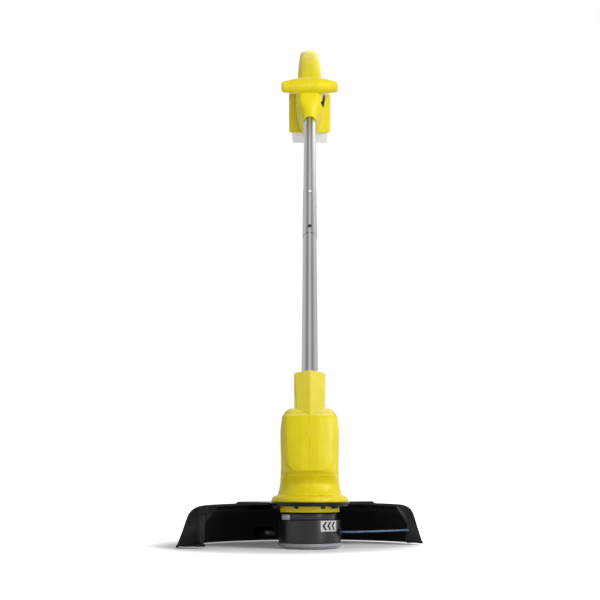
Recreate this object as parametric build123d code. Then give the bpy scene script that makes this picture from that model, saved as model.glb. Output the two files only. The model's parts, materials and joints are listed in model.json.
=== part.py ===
from build123d import *
import os
from math import atan2, cos, degrees, radians, sin, tan

# A cordless string trimmer in its working pose.
# X points to the right of someone facing the trimmer's front, Y back towards the hands, Z up.
# The origin is on the drum's axis, on the ground. All sizes are in millimetres.

# Fits and walls
RUN = 0.05            # radial clearance of a shaft or pin in its hole
SEAT = 0.1            # clearance of a fixed piece in its seat
SLIDE = 0.3           # clearance between pieces that move past each other
WALL = 2.4            # wall of the moulded housings
SCREW_R = 1.6         # housing screws
SCREW_HEAD_R = 3.2
SCREW_HEAD_H = 2.4
SCREW_SINK = 12.0     # depth of the screw heads, measured from the seam
SCREW_GRIP = 8.0      # length of thread past the seam
BOSS_R = 5.6

# Drum, spool and line
DRUM_R = 37.6
DRUM_LOW = 7.0
DRUM_TOP = 33.5
DRUM_WALL = 2.4
NECK_TOP = 41.4
HUB_R = 8.0
DRUM_BOSS_R = 12.0
DRUM_BOSS_LOW = 18.0
COVER_RIM = 0.6       # the cover stands this far outside the drum
SPOOL_HUB_R = 17.0
FLANGE_T = 2.0
TAB_AZIMUTH = 214.0
TAB_HALF = 6.9
TAB_PROUD = 2.5
TAB_TRAVEL = 2.0
LINE_D = 2.4
LINE_Z = 19.5
LINE_AZIMUTH = -20.0
EYELET_R = 3.0
TIP_AZIMUTH = 12.0

# Motor
SHAFT_R = 2.5
MOTOR_R = 23.0
MOTOR_LEN = 58.0
CAN_WALL = 1.6
CAP_H = 7.0
BEARING_R = 6.5
NOSE_R = 8.7
MOTOR_SCREW_R = 2.0
MOTOR_SCREW_X = 14.5
PLATE_T = 2.4
COMMUTATOR_R = 9.0
PLUG_H = 5.0          # plug of the cable on the motor's end cap
BRUSH_R = 14.9        # outer end of the brushes

# Motor housing
SPIGOT_R = 36.3
SPIGOT_LOW = 42.4
SPIGOT_WALL = 3.3
FLANGE_R = 47.0
FLANGE_LOW = 54.0
FLANGE_H = 8.6
BODY_HALF = 36.8
BODY_TOP = 166.0
PANEL_LOW = 97.0      # height of the fullest part of the front
COLLAR_HALF = 22.5
COLLAR_FOOT_HALF = 20.8
COLLAR_END = 121.0    # along the shaft
COLLAR_SKIN = 3.0     # wall in front of the tube
COLLAR_DEPTH = 25.0   # from the tube's axis to the back of the collar

# Guard
GUARD_R = 160.0       # rim
GUARD_RIM_Z = 1.5
GUARD_WALL = 2.8
GUARD_START = 25.0    # azimuths of its two ends
GUARD_END = 187.0
GUARD_HUB_R = 49.0
GUARD_HUB_T = 4.4
GUARD_SCREW_R = 2.0
BLADE_GAP = 1.5       # from the line's tip to the blade
BLADE_W = 6.5
BLADE_T = 1.5
BLADE_LOW = 6.0
BLADE_HIGH = 40.0
RIB_T = 4.0

# Shaft
SHAFT_ELEVATION = 51.5
SHAFT_Z = 122.0       # where the shaft's axis meets the drum's axis
TUBE_R = 11.0
TUBE_WALL = 0.9
TUBE_FOOT = 40.0
SLEEVE_LOW = 440.0
SLEEVE_LEN = 136.0
SLEEVE_WALL = 0.55
SLEEVE_MARGIN = 17.0  # from each end of the sleeve to its rivet or button
RIVET_R = 2.0
BUTTON_R = 3.2
BUTTON_PROUD = 2.4
BUTTON_TRAVEL = 2.6
HANDLE_Y = 845.0      # along the shaft, the datum of the handle's own sizes
CABLE_R = 2.5

# Handle, with distances along the shaft from its datum and above the shaft's axis
FRONT_HALF = 26.5
KEEL_HALF = 12.0
KEEL_LOW = -77.0
LIP_H = -20.0
TUBE_END = 72.0
BAR_H = 36.0
BAR_N = 49.0
BAR_HALF = 55.0
BAR_R = 15.0
BAR_END_R = 10.5
ARCH_HALF = 21.0
DECK_TOP = -4.0
DECK_FLOOR = -44.0
DECK_REAR = 228.0
DECK_FALL = 18.0      # the deck's top is this much lower at its rear
LOCK_PROUD = 5.2
LOCK_FRONT = 14.0
LOCK_BACK = 54.0
LOCK_LOW = 13.0
LOCK_HIGH = 23.0
TRIGGER_H = 104.0
TRIGGER_N = 47.0
TRIGGER_HALF = 7.0
PIN_R = 2.0
SWITCH_FRONT = 116.0
SWITCH_BACK = 140.0
SWITCH_LOW = 57.5
SWITCH_HIGH = 67.0
SWITCH_HALF = 6.5
PLUNGER_H = 128.0
PLUNGER_R = 2.0
BOARD_N = -30.0
BOARD_T = 1.6
SOCKET_H = 112.0      # front of the plugs on the control board
SOCKET_N = -21.0

# Battery
BATTERY_HALF = 39.6
BATTERY_FRONT = 90.0
BATTERY_LEN = 118.0
BATTERY_TOP = -47.5
BATTERY_SPLIT = -78.0
BATTERY_LOW = -109.0
BATTERY_FOOT_HALF = 35.8
CELL_R = 9.2
CELL_LEN = 65.0
CELL_PITCH = 19.2
BATTERY_WALL = 2.4
CASE_BOSS_R = 3.8
RAIL_LOW = -62.0
RAIL_HIGH = -58.0
RAIL_DEPTH = 2.8
NOTCH_HALF = 24.0
NOTCH_LEN = 14.0
NOTCH_LOW = -62.0
BLADE_PITCH = 10.0
CONTACT_T = 0.8
LATCH_HALF = 11.9
LATCH_LEN = 17.0

# Sizes that follow from those above
NECK_R = DRUM_R - 4.1
COVER_FLAT_R = DRUM_R - 9.6
CUT_R = GUARD_R - 35.0           # radius that the tip of the line cuts
GUARD_SHOULDER_R = GUARD_R - 29.0
GUARD_DISC_R = GUARD_R - 70.0
FLANGE_TOP = FLANGE_LOW + FLANGE_H
MOTOR_LOW = FLANGE_TOP + PLATE_T
MOTOR_HIGH = MOTOR_LOW + MOTOR_LEN
CAP_TOP = MOTOR_HIGH + CAP_H
DRUM_IN = DRUM_R - DRUM_WALL
NECK_IN = NECK_R - DRUM_WALL
SPOOL_LOW = DRUM_LOW + 2.0
SPOOL_HIGH = DRUM_TOP - DRUM_WALL - 1.1
TUBE_IN = TUBE_R - TUBE_WALL
SLEEVE_R = TUBE_R + RUN + SLEEVE_WALL
SLEEVE_HIGH = SLEEVE_LOW + SLEEVE_LEN
TUBE_JOIN = (SLEEVE_LOW + SLEEVE_HIGH) / 2
RIVET_Y = SLEEVE_LOW + SLEEVE_MARGIN
BUTTON_Y = SLEEVE_HIGH - SLEEVE_MARGIN
CABLE_X = TUBE_IN - CABLE_R - 0.6
BAY_HALF = BATTERY_HALF + 0.8 + WALL
BATTERY_BACK = BATTERY_FRONT + BATTERY_LEN
BATTERY_IN = BATTERY_HALF - 4.8
CELL_ROW = BATTERY_LOW + BATTERY_WALL + CELL_R + SEAT
LATCH_BACK = BATTERY_BACK - 1.0
CELL_COLUMNS = 5
CELL_ROWS = 2
FAR = 400.0           # larger than any piece that it cuts

lean = Pos(0, 0, SHAFT_Z) * Rot(SHAFT_ELEVATION, 0, 0)
grip = lean * Pos(0, HANDLE_Y, 0)


# Simple shapes between stated limits
def rod_x(radius, left, right, y, z):
    return Pos((left + right) / 2, y, z) * Rot(0, 90, 0) * Cylinder(radius, right - left)


def rod_y(radius, front, back, x=0, z=0):
    return Pos(x, (front + back) / 2, z) * Rot(90, 0, 0) * Cylinder(radius, back - front)


def rod_z(radius, low, high, x=0, y=0):
    return Pos(x, y, (low + high) / 2) * Cylinder(radius, high - low)


def block(left, right, front, back, low, high):
    centre = Pos((left + right) / 2, (front + back) / 2, (low + high) / 2)
    return centre * Box(right - left, back - front, high - low)


def side_slab(points, half):
    face = make_face(Polyline(*[(0, y, z) for y, z in points], close=True))
    return extrude(face, amount=half, dir=(1, 0, 0), both=True)


def front_slab(points, front, back):
    face = make_face(Polyline(*[(x, front, z) for x, z in points], close=True))
    return extrude(face, amount=back - front, dir=(0, 1, 0))


def turned(points, start=0, sweep_angle=360):
    face = make_face(Polyline(*[(r, 0, z) for r, z in points], close=True))
    return Rot(0, 0, start) * revolve(face, Axis.Z, revolution_arc=sweep_angle)


def spun(azimuth, shape):
    return Rot(0, 0, azimuth) * shape


def polar(radius, azimuth, height):
    return (radius * cos(radians(azimuth)), radius * sin(radians(azimuth)), height)


def thickened(points, wall):
    """Close an open outline with a copy of itself, one wall to its right."""
    normals = []
    for (a, b), (c, d) in zip(points, points[1:]):
        turn = atan2(d - b, c - a)
        normals.append((sin(turn), -cos(turn)))
    corners = [normals[0]]
    for (a, b), (c, d) in zip(normals, normals[1:]):
        scale = 1 + a * c + b * d
        corners.append(((a + c) / scale, (b + d) / scale))
    corners.append(normals[-1])
    inner = [(p + wall * u, q + wall * v) for (p, q), (u, v) in zip(points, corners)]
    return points + inner[::-1]


def coil(radius, wire, length, turns):
    """A compression spring along Z from 0 to its length."""
    rise = length - 2 * wire
    path = Pos(0, 0, wire) * Helix(rise / turns, rise, radius)
    start = Plane(path @ 0, z_dir=path % 0)
    return sweep(start * Circle(wire), path, is_frenet=True)


def cord(points, radius):
    """A round cord along straight runs joined by arcs as large as the runs allow."""
    spots = [Vector(*point) for point in points]
    bends = []
    for before, here, after in zip(spots, spots[1:], spots[2:]):
        turn = (here - before).get_angle(after - here)
        shorter = min((here - before).length, (after - here).length)
        bends.append(0.45 * shorter / tan(radians(turn / 2)))
    print("cord radii", [round(bend, 1) for bend in bends])
    path = FilletPolyline(*spots, radius=bends)
    start = Plane(path @ 0, z_dir=path % 0)
    return sweep(start * Circle(radius), path)


def half(shape, side):
    """Keep the left (-1) or right (1) half of a shape."""
    left, right = (-FAR * 3, 0) if side < 0 else (0, FAR * 3)
    return shape & block(left, right, -FAR * 3, FAR * 3, -FAR * 3, FAR * 3)


# Housing screws lie along X with their heads in wells on the right
def screw_boss(y, z):
    return rod_x(BOSS_R, -FAR, FAR, y, z)


def screw_hole(y, z):
    shank = rod_x(SCREW_R + RUN, -SCREW_GRIP - SEAT, SCREW_SINK, y, z)
    return shank + rod_x(SCREW_HEAD_R + SLIDE, SCREW_SINK - SCREW_HEAD_H, FAR, y, z)


def screw(y, z):
    shank = rod_x(SCREW_R, -SCREW_GRIP, SCREW_SINK - SCREW_HEAD_H, y, z)
    return shank + rod_x(SCREW_HEAD_R, SCREW_SINK - SCREW_HEAD_H, SCREW_SINK, y, z)


# Motor housing
BODY_FRONT = MOTOR_R + 17.0
BODY_BACK = MOTOR_R + 29.0
BODY_SCREWS = [(-MOTOR_R - 8.5, 104.0), (MOTOR_R + 12.0, 84.0), (MOTOR_R + 15.0, 122.0)]
COLLAR_SCREWS = [(72.0, -TUBE_R - 6.4), (108.0, -TUBE_R - 6.4)]
VENTS = 5
VENT_LOW = 104.0
VENT_STEP = 7.0
VENT_H = 2.6
MOTOR_RIBS = (86.0, 108.0)
RIB_H = 2.4


def body_shape(inset):
    base = SPIGOT_R + 3.0
    sections = [
        (FLANGE_TOP - 1 + inset, base, base, base, base - 1),
        (74, BODY_HALF, base - 2, base + 2, 30),
        (86, BODY_HALF - 1.2, BODY_FRONT - 2, BODY_BACK - 8, 24),
        (PANEL_LOW, BODY_HALF - 1.5, BODY_FRONT, BODY_BACK - 6, 20),
        (136, BODY_HALF, BODY_FRONT - 10, BODY_BACK, 18),
        (154, BODY_HALF - 2, BODY_FRONT - 17, BODY_BACK + 2, 18),
        (BODY_TOP - inset, BODY_HALF - 11, 3, BODY_BACK - 3, 16),
    ]
    faces = []
    for height, wide, front, back, corner in sections:
        face = RectangleRounded(2 * (wide - inset), front + back - 2 * inset, corner - inset)
        faces.append(Pos(0, (back - front) / 2, height) * face)
    return loft(faces)


def collar_shape(inset):
    high = TUBE_R + COLLAR_SKIN - min(inset, COLLAR_SKIN - SLIDE)
    low = -COLLAR_DEPTH + inset
    faces = []
    for y, wide in ((10.0, COLLAR_FOOT_HALF), (COLLAR_END - 1.5 * inset, COLLAR_HALF)):
        face = RectangleRounded(2 * (wide - inset), high - low, 8 - inset)
        faces.append(Pos(0, y, (high + low) / 2) * Rot(90, 0, 0) * face)
    return loft(faces)


def motor_housing():
    flange = [
        (0, FLANGE_LOW), (FLANGE_R, FLANGE_LOW), (FLANGE_R, FLANGE_LOW + 3),
        (FLANGE_R - 2.5, FLANGE_TOP), (0, FLANGE_TOP),
    ]
    skin = body_shape(0) + lean * collar_shape(0) + turned(flange)
    skin += rod_z(SPIGOT_R, SPIGOT_LOW, FLANGE_LOW + 1)
    inside = body_shape(WALL) + lean * collar_shape(WALL)
    ribs = Part()
    for low in MOTOR_RIBS:
        ribs += block(-FAR, FAR, -FAR, FAR, low, low + RIB_H)
    for y, z in BODY_SCREWS:
        ribs += screw_boss(y, z)
    for y in (TUBE_FOOT + 6, COLLAR_END - 30):
        ribs += lean * block(-FAR, FAR, y, y + RIB_H, -COLLAR_DEPTH, TUBE_R + COLLAR_SKIN)
    for y, z in COLLAR_SCREWS:
        ribs += lean * screw_boss(y, z)
    shell = skin - inside + (ribs & inside)
    shell -= rod_z(SPIGOT_R - SPIGOT_WALL, 0, FLANGE_TOP)
    shell -= rod_z(MOTOR_R + SEAT, FLANGE_TOP, CAP_TOP + 1)
    shell -= rod_z(SPIGOT_R - 1 + SEAT, FLANGE_TOP, FLANGE_TOP + PLATE_T + SEAT)
    shell -= lean * rod_y(TUBE_R + RUN, TUBE_FOOT - SEAT, FAR)
    for y, z in BODY_SCREWS:
        shell -= screw_hole(y, z)
    for y, z in COLLAR_SCREWS:
        shell -= lean * screw_hole(y, z)
    for place in guard_screw_places():
        shell -= Pos(*place) * rod_z(GUARD_SCREW_R + RUN, FLANGE_LOW - 1, FLANGE_TOP - 2)
    for number in range(VENTS):
        low = VENT_LOW + number * VENT_STEP
        shell -= block(-FAR, FAR, MOTOR_R - 2, BODY_BACK - 20, low, low + VENT_H)
    return shell


def housing_screws():
    screws = [screw(y, z) for y, z in BODY_SCREWS]
    screws += [lean * screw(y, z) for y, z in COLLAR_SCREWS]
    return Compound(children=screws)


# Motor
def motor_plate():
    plate = rod_z(SPIGOT_R - 1, FLANGE_TOP, MOTOR_LOW)
    plate -= rod_z(NOSE_R + SEAT, 0, FAR)
    for x in (-MOTOR_SCREW_X, MOTOR_SCREW_X):
        plate -= rod_z(MOTOR_SCREW_R + RUN, 0, FAR, x)
    return plate


def motor_screws():
    screws = []
    for x in (-MOTOR_SCREW_X, MOTOR_SCREW_X):
        shank = rod_z(MOTOR_SCREW_R, FLANGE_TOP, MOTOR_LOW + CAN_WALL, x)
        screws.append(shank + rod_z(MOTOR_SCREW_R * 1.8, FLANGE_TOP - 2.4, FLANGE_TOP, x))
    return Compound(children=screws)


def motor_can():
    can = rod_z(MOTOR_R, MOTOR_LOW, MOTOR_HIGH) + rod_z(NOSE_R, FLANGE_TOP - 2, MOTOR_LOW)
    can -= rod_z(MOTOR_R - CAN_WALL, MOTOR_LOW + CAN_WALL, FAR)
    can -= rod_z(BEARING_R, 0, FAR)
    for x in (-MOTOR_SCREW_X, MOTOR_SCREW_X):
        can -= rod_z(MOTOR_SCREW_R + RUN, 0, FAR, x)
    return can


def bearing(low, high):
    return rod_z(BEARING_R - RUN / 2, low, high) - rod_z(SHAFT_R + RUN, 0, FAR)


def motor_bearings():
    lower = bearing(FLANGE_TOP - 1.8, MOTOR_LOW + CAN_WALL)
    return Compound(children=[lower, bearing(CAP_TOP - 3, CAP_TOP + 2)])


def motor_magnets():
    outer = MOTOR_R - CAN_WALL - RUN
    ring = rod_z(outer, MOTOR_LOW + 9, MOTOR_HIGH - 8) - rod_z(outer - 4, 0, FAR)
    magnets = [ring & block(6, FAR, -FAR, FAR, 0, FAR), ring & block(-FAR, -6, -FAR, FAR, 0, FAR)]
    return Compound(children=magnets)


def armature():
    core = rod_z(MOTOR_R - 6.4, MOTOR_LOW + 10, MOTOR_HIGH - 9)
    slots = Part()
    for azimuth in range(0, 360, 72):
        slots += spun(azimuth, block(MOTOR_R - 10, MOTOR_R, -1, 1, 0, FAR))
    core = core - slots + rod_z(COMMUTATOR_R, MOTOR_HIGH - 9, MOTOR_HIGH + 2)
    return core - rod_z(SHAFT_R + RUN, 0, FAR)


def brushes():
    pocket = MOTOR_HIGH + CAP_H - 3
    brush = block(COMMUTATOR_R + SLIDE, BRUSH_R, -2.5, 2.5, MOTOR_HIGH - 4, pocket - SEAT)
    return Compound(children=[brush, spun(180, brush)])


def motor_end_cap():
    cap = rod_z(MOTOR_R, MOTOR_HIGH, CAP_TOP) + rod_z(NOSE_R, CAP_TOP, CAP_TOP + 3)
    cap -= rod_z(BRUSH_R + 2 * SLIDE, MOTOR_HIGH - 1, CAP_TOP - 3)
    return cap - rod_z(BEARING_R, 0, FAR)


def cable_drop():
    """Where the cable leaves the shaft's direction and turns down to the motor's plug."""
    drop = lean * Pos(CABLE_X, TUBE_FOOT - 12, 0)
    return drop.position


def motor_plug():
    spot = cable_drop()
    return block(spot.X - 5, spot.X + 5, spot.Y - 4, spot.Y + 4, CAP_TOP, CAP_TOP + PLUG_H)


def motor_cable():
    spot = cable_drop()
    route = [
        (spot.X, spot.Y, CAP_TOP + PLUG_H),
        tuple(spot),
        tuple((grip * Pos(CABLE_X, TUBE_END + 6, 0)).position),
        tuple((grip * Pos(CABLE_X, SOCKET_H - 12, SOCKET_N)).position),
        tuple((grip * Pos(CABLE_X, SOCKET_H, SOCKET_N)).position),
    ]
    return cord(route, CABLE_R)


def motor_shaft():
    return rod_z(SHAFT_R, DRUM_BOSS_LOW - 5, CAP_TOP + 2.5)


# Turning drum
def drive_hub():
    hub = rod_z(HUB_R, DRUM_BOSS_LOW + 0.4, NECK_TOP + RUN)
    hub += rod_z(HUB_R + 3, NECK_TOP + RUN, NECK_TOP + 2.5)
    return hub - rod_z(SHAFT_R + RUN, 0, FAR)


def hub_nut():
    high = DRUM_BOSS_LOW - SEAT
    nut = Pos(0, 0, high - 5) * extrude(RegularPolygon(5.8, 6), amount=5)
    nut += rod_z(HUB_R + 3, high - 1.2, high)
    return nut - rod_z(SHAFT_R + RUN, 0, FAR)


def spool_drum():
    shoulder = DRUM_TOP - DRUM_WALL
    cup = [
        (HUB_R + RUN, DRUM_BOSS_LOW), (DRUM_BOSS_R, DRUM_BOSS_LOW), (DRUM_BOSS_R, NECK_TOP - DRUM_WALL),
        (NECK_IN, NECK_TOP - DRUM_WALL), (NECK_IN, shoulder), (DRUM_IN, shoulder), (DRUM_IN, DRUM_LOW),
        (DRUM_R, DRUM_LOW), (DRUM_R, DRUM_TOP - 1), (DRUM_R - 1, DRUM_TOP), (NECK_R, DRUM_TOP),
        (NECK_R, NECK_TOP - 1), (NECK_R - 1, NECK_TOP), (HUB_R + RUN, NECK_TOP),
    ]
    drum = turned(cup)
    seat = block(NECK_IN - 13, NECK_IN - 10.7, -3, 3, DRUM_TOP + 0.5, NECK_TOP - DRUM_WALL + 1)
    slot = block(NECK_IN - 6, FAR, -TAB_HALF - SLIDE, TAB_HALF + SLIDE, DRUM_TOP + 0.2, NECK_TOP - 1.2)
    for azimuth in (TAB_AZIMUTH, TAB_AZIMUTH - 180):
        drum += spun(azimuth, seat)
        drum -= spun(azimuth, slot)
    return drum - spun(LINE_AZIMUTH, rod_x(EYELET_R + RUN, DRUM_IN - 3, FAR, 0, LINE_Z))


def latch_tab(azimuth):
    low = DRUM_TOP + 0.4
    high = NECK_TOP - 1.5
    tab = block(NECK_IN - 3.5, NECK_R + TAB_PROUD, -TAB_HALF, TAB_HALF, low, high)
    lip_high = NECK_TOP - DRUM_WALL - SLIDE
    tab += block(NECK_IN - 3.5, NECK_IN - 1.5, -TAB_HALF - 1.6, TAB_HALF + 1.6, low, lip_high)
    return spun(azimuth, tab)


def latch_tab_spring(azimuth):
    length = 7.2 - 2 * SEAT
    spring = Pos(NECK_IN - 10.7 + SEAT, 0, (DRUM_TOP + NECK_TOP) / 2 - 1) * Rot(0, 90, 0)
    return spun(azimuth, spring * coil(1.9, 0.35, length, 4))


def line_eyelet():
    out = DRUM_R + 1.6
    bush = rod_x(EYELET_R, DRUM_IN - SLIDE, out, 0, LINE_Z)
    bush += rod_x(EYELET_R + 1.2, DRUM_R + 0.4, out, 0, LINE_Z)
    return spun(LINE_AZIMUTH, bush - rod_x(LINE_D / 2 + SLIDE, 0, FAR, 0, LINE_Z))


def line_route():
    """Straight out of the eyelet, then trailing back to the tip."""
    start = polar(DRUM_IN, LINE_AZIMUTH, LINE_Z)
    out = polar(DRUM_R + 9.4, LINE_AZIMUTH, LINE_Z)
    tip = polar(CUT_R, TIP_AZIMUTH, LINE_Z + 0.5)
    reach_x = tip[0] - out[0]
    reach_y = tip[1] - out[1]
    near = (out[0] + 0.2 * reach_x, out[1] + 0.06 * reach_y, LINE_Z + 0.1)
    far = (out[0] + 0.56 * reach_x, out[1] + 0.45 * reach_y, LINE_Z + 0.3)
    return [start, out, near, far, tip]


def cutting_line():
    return cord(line_route(), LINE_D / 2)


def drum_cover():
    rim = DRUM_R + COVER_RIM
    lip = DRUM_IN - SLIDE
    cup = [
        (0, 0), (COVER_FLAT_R, 0), (rim - 3, 1.2), (rim, 3.6),
        (rim, DRUM_LOW - SLIDE), (lip, DRUM_LOW - SLIDE),
        (lip, SPOOL_LOW - SLIDE), (lip - 2, SPOOL_LOW - SLIDE), (lip - 2, 3.5), (0, 3.5),
    ]
    return turned(cup)


def spool():
    bore = DRUM_BOSS_R + SLIDE
    rim = DRUM_IN - 0.8
    reel = [
        (bore, SPOOL_LOW), (rim, SPOOL_LOW), (rim, SPOOL_LOW + FLANGE_T),
        (SPOOL_HUB_R, SPOOL_LOW + FLANGE_T), (SPOOL_HUB_R, SPOOL_HIGH - FLANGE_T),
        (rim, SPOOL_HIGH - FLANGE_T), (rim, SPOOL_HIGH), (bore, SPOOL_HIGH),
    ]
    return turned(reel)


def line_winding():
    low = SPOOL_LOW + FLANGE_T + SEAT
    high = SPOOL_HIGH - FLANGE_T - SEAT
    return rod_z(DRUM_IN - 4.7, low, high) - rod_z(SPOOL_HUB_R + SEAT, 0, FAR)


def spool_spring():
    low = SPOOL_HIGH + SEAT
    return Pos(0, 0, low) * coil(DRUM_BOSS_R + 2.2, 0.6, NECK_TOP - DRUM_WALL - SEAT - low, 4)


# Guard and line cutter
def guard_screw_places():
    return [polar((SPIGOT_R + FLANGE_R) / 2 + 0.6, azimuth, 0) for azimuth in (75, 195, 315)]


def guard_rib(azimuth, inner, thick, start):
    """A radial wall under the top plate that closes one end of the skirt."""
    corner = [
        (inner - 14, FLANGE_LOW - 4.5), (GUARD_SHOULDER_R + 8, FLANGE_LOW - 8.5),
        (GUARD_SHOULDER_R + 15, FLANGE_LOW - 16), (GUARD_R - 3.5, GUARD_RIM_Z + 4.5),
        (GUARD_R - 8, GUARD_RIM_Z + 1.5), (inner + 1.5, GUARD_RIM_Z + 1.5), (inner + 1.5, FLANGE_LOW / 2),
    ]
    return spun(azimuth, front_slab(corner, start, start + thick))


def guard():
    outline = [
        (GUARD_HUB_R - 1, FLANGE_LOW), (GUARD_DISC_R, FLANGE_LOW), (GUARD_DISC_R + 14, FLANGE_LOW - 1.6),
        (GUARD_SHOULDER_R, FLANGE_LOW - 3.6), (GUARD_SHOULDER_R + 9, FLANGE_LOW - 7.2),
        (GUARD_SHOULDER_R + 16, FLANGE_LOW - 14.5), (GUARD_R, GUARD_RIM_Z),
    ]
    skirt = turned(thickened(outline, GUARD_WALL), GUARD_START, GUARD_END - GUARD_START)
    hub_low = FLANGE_LOW - GUARD_HUB_T
    shield = skirt + rod_z(GUARD_HUB_R, hub_low, FLANGE_LOW)
    tab = block(SPIGOT_R + SLIDE, SPIGOT_R + 2.2, -2.3, 2.3, hub_low - 2.8, hub_low + 1)
    for azimuth in (245, 295):
        shield += spun(azimuth, tab)
    shield += guard_rib(GUARD_END, CUT_R + BLADE_GAP + 1, RIB_T, -RIB_T)
    shield += guard_rib(GUARD_START, GUARD_SHOULDER_R + 6, RIB_T - 1, 0)
    shield -= rod_z(SPIGOT_R + SLIDE, 0, FAR)
    for place in guard_screw_places():
        shield -= Pos(*place) * rod_z(GUARD_SCREW_R + RUN, 0, FAR)
    for height in blade_screw_heights():
        shield -= spun(GUARD_END, rod_y(1.5 + RUN, -RIB_T - 1, 1, blade_screw_radius(), height))
    return shield


def guard_screws():
    under = FLANGE_LOW - GUARD_HUB_T
    screws = []
    for place in guard_screw_places():
        shank = rod_z(GUARD_SCREW_R, under, FLANGE_TOP - 2.4)
        screws.append(Pos(*place) * (shank + rod_z(GUARD_SCREW_R * 1.9, under - 2.6, under)))
    return Compound(children=screws)


def blade_screw_heights():
    return (BLADE_LOW + 6, BLADE_HIGH - 5)


def blade_screw_radius():
    return CUT_R + BLADE_GAP + BLADE_W - 2.2


def line_cutter():
    edge = CUT_R + BLADE_GAP
    blade = block(edge, edge + BLADE_W, 0, BLADE_T, BLADE_LOW, BLADE_HIGH)
    bevel = [(edge - 1, -1), (edge + 1.5, -1), (edge - 1, BLADE_T)]
    face = make_face(Polyline(*[(x, y, 0) for x, y in bevel], close=True))
    blade -= extrude(face, amount=FAR)
    for height in blade_screw_heights():
        blade -= rod_y(1.5 + RUN, -1, BLADE_T + 1, blade_screw_radius(), height)
    return spun(GUARD_END, blade)


def cutter_screws():
    screws = []
    for height in blade_screw_heights():
        shank = rod_y(1.5, -RIB_T, BLADE_T, blade_screw_radius(), height)
        head = rod_y(2.1, BLADE_T, BLADE_T + 1.6, blade_screw_radius(), height)
        screws.append(spun(GUARD_END, shank + head))
    return Compound(children=screws)


# Shaft
def pipe(radius, inner, front, back):
    return rod_y(radius, front, back) - rod_y(inner, front - 1, back + 1)


def lower_tube():
    tube = pipe(TUBE_R, TUBE_IN, TUBE_FOOT, TUBE_JOIN - SEAT)
    return lean * (tube - rod_z(RIVET_R + RUN, 0, FAR, 0, RIVET_Y))


def upper_tube():
    tube = pipe(TUBE_R, TUBE_IN, TUBE_JOIN + SEAT, HANDLE_Y + TUBE_END)
    return lean * (tube - rod_z(BUTTON_R + RUN, 0, FAR, 0, BUTTON_Y))


def coupling_sleeve():
    sleeve = pipe(SLEEVE_R, TUBE_R + RUN, SLEEVE_LOW, SLEEVE_HIGH)
    sleeve -= rod_z(RIVET_R + RUN, 0, FAR, 0, RIVET_Y)
    return lean * (sleeve - rod_z(BUTTON_R + RUN, 0, FAR, 0, BUTTON_Y))


def sleeve_rivet():
    rivet = rod_z(RIVET_R, TUBE_IN - 0.8, SLEEVE_R + SEAT, 0, RIVET_Y)
    return lean * (rivet + rod_z(RIVET_R * 1.6, SLEEVE_R + RUN, SLEEVE_R + 0.8, 0, RIVET_Y))


def snap_button():
    high = SLEEVE_R + BUTTON_PROUD
    button = rod_z(BUTTON_R, TUBE_IN - 2.4, high, 0, BUTTON_Y)
    button = chamfer(button.edges().group_by(Axis.Z)[-1], 0.8)
    return lean * (button + rod_z(BUTTON_R + 1.3, TUBE_IN - 2.6, TUBE_IN - 1.6, 0, BUTTON_Y))


def snap_spring():
    leaf = [
        (BUTTON_Y + 8, TUBE_IN - 2.7), (BUTTON_Y - 8, TUBE_IN - 2.7), (BUTTON_Y - 28, 2.5),
        (BUTTON_Y - 32, -2.0), (BUTTON_Y - 28, -6.0),
        (BUTTON_Y - 12, -TUBE_IN + 1.0), (BUTTON_Y + 12, -TUBE_IN + 1.0),
    ]
    return lean * side_slab(thickened(leaf, -0.6), CABLE_X - CABLE_R - 0.8)


# Handle
HANDLE_SCREWS = [(64, 38), (44, -42), (172, 43), (206, 12), (132, -16), (214, -33)]
ARCH_LINE = [
    (52, 46, 16.5), (80, 52, 17.2), (110, 55.3, 16.8), (140, 54, 16.3), (165, 47.5, 16.5), (190, 33, 17.5),
    (207, 14, 18.5), (214, -8, 17.5), (213, -34, 12.5),
]
BAY_FRONT_LOW = 70.0
BAY_FRONT_HIGH = 104.0
BAY_SLOPE = (BAY_FRONT_HIGH - BAY_FRONT_LOW) / (DECK_TOP - KEEL_LOW)


def bay_front(height):
    """How far along the shaft the slanted front of the battery bay is, at a height."""
    return BAY_FRONT_LOW + (height - KEEL_LOW) * BAY_SLOPE


def keel_shape(inset):
    side = [
        (LIP_H + inset, 13 - inset), (6, 33 - inset), (24, 42 - inset), (30, 56 - inset), (60, 64 - inset),
        (94 - inset, 54 - inset), (98 - inset, 30), (BAY_FRONT_HIGH - inset, DECK_TOP),
        (BAY_FRONT_LOW + 2 - inset, KEEL_LOW + inset), (BAY_FRONT_LOW - 8 + inset, KEEL_LOW + inset),
    ]
    wide = FRONT_HALF - inset
    narrow = KEEL_HALF - inset
    vee = [(-wide, 70), (-wide, 0), (-narrow, KEEL_LOW), (narrow, KEEL_LOW), (wide, 0), (wide, 70)]
    return side_slab(side, FAR) & front_slab(vee, LIP_H - 5, FAR)


def arch_shape(inset):
    upper = []
    lower = []
    for number, (h, n, thick) in enumerate(ARCH_LINE):
        before = ARCH_LINE[max(number - 1, 0)]
        after = ARCH_LINE[min(number + 1, len(ARCH_LINE) - 1)]
        turn = atan2(after[1] - before[1], after[0] - before[0])
        reach = thick - inset
        upper.append((0, h - reach * sin(turn), n + reach * cos(turn)))
        lower.append((0, h + reach * sin(turn), n - reach * cos(turn)))
    edges = Curve() + Spline(*upper) + Line(upper[-1], lower[-1])
    edges += Spline(*lower) + Line(lower[0], upper[0])
    return extrude(make_face(edges), amount=ARCH_HALF - inset, dir=(1, 0, 0), both=True)


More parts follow.
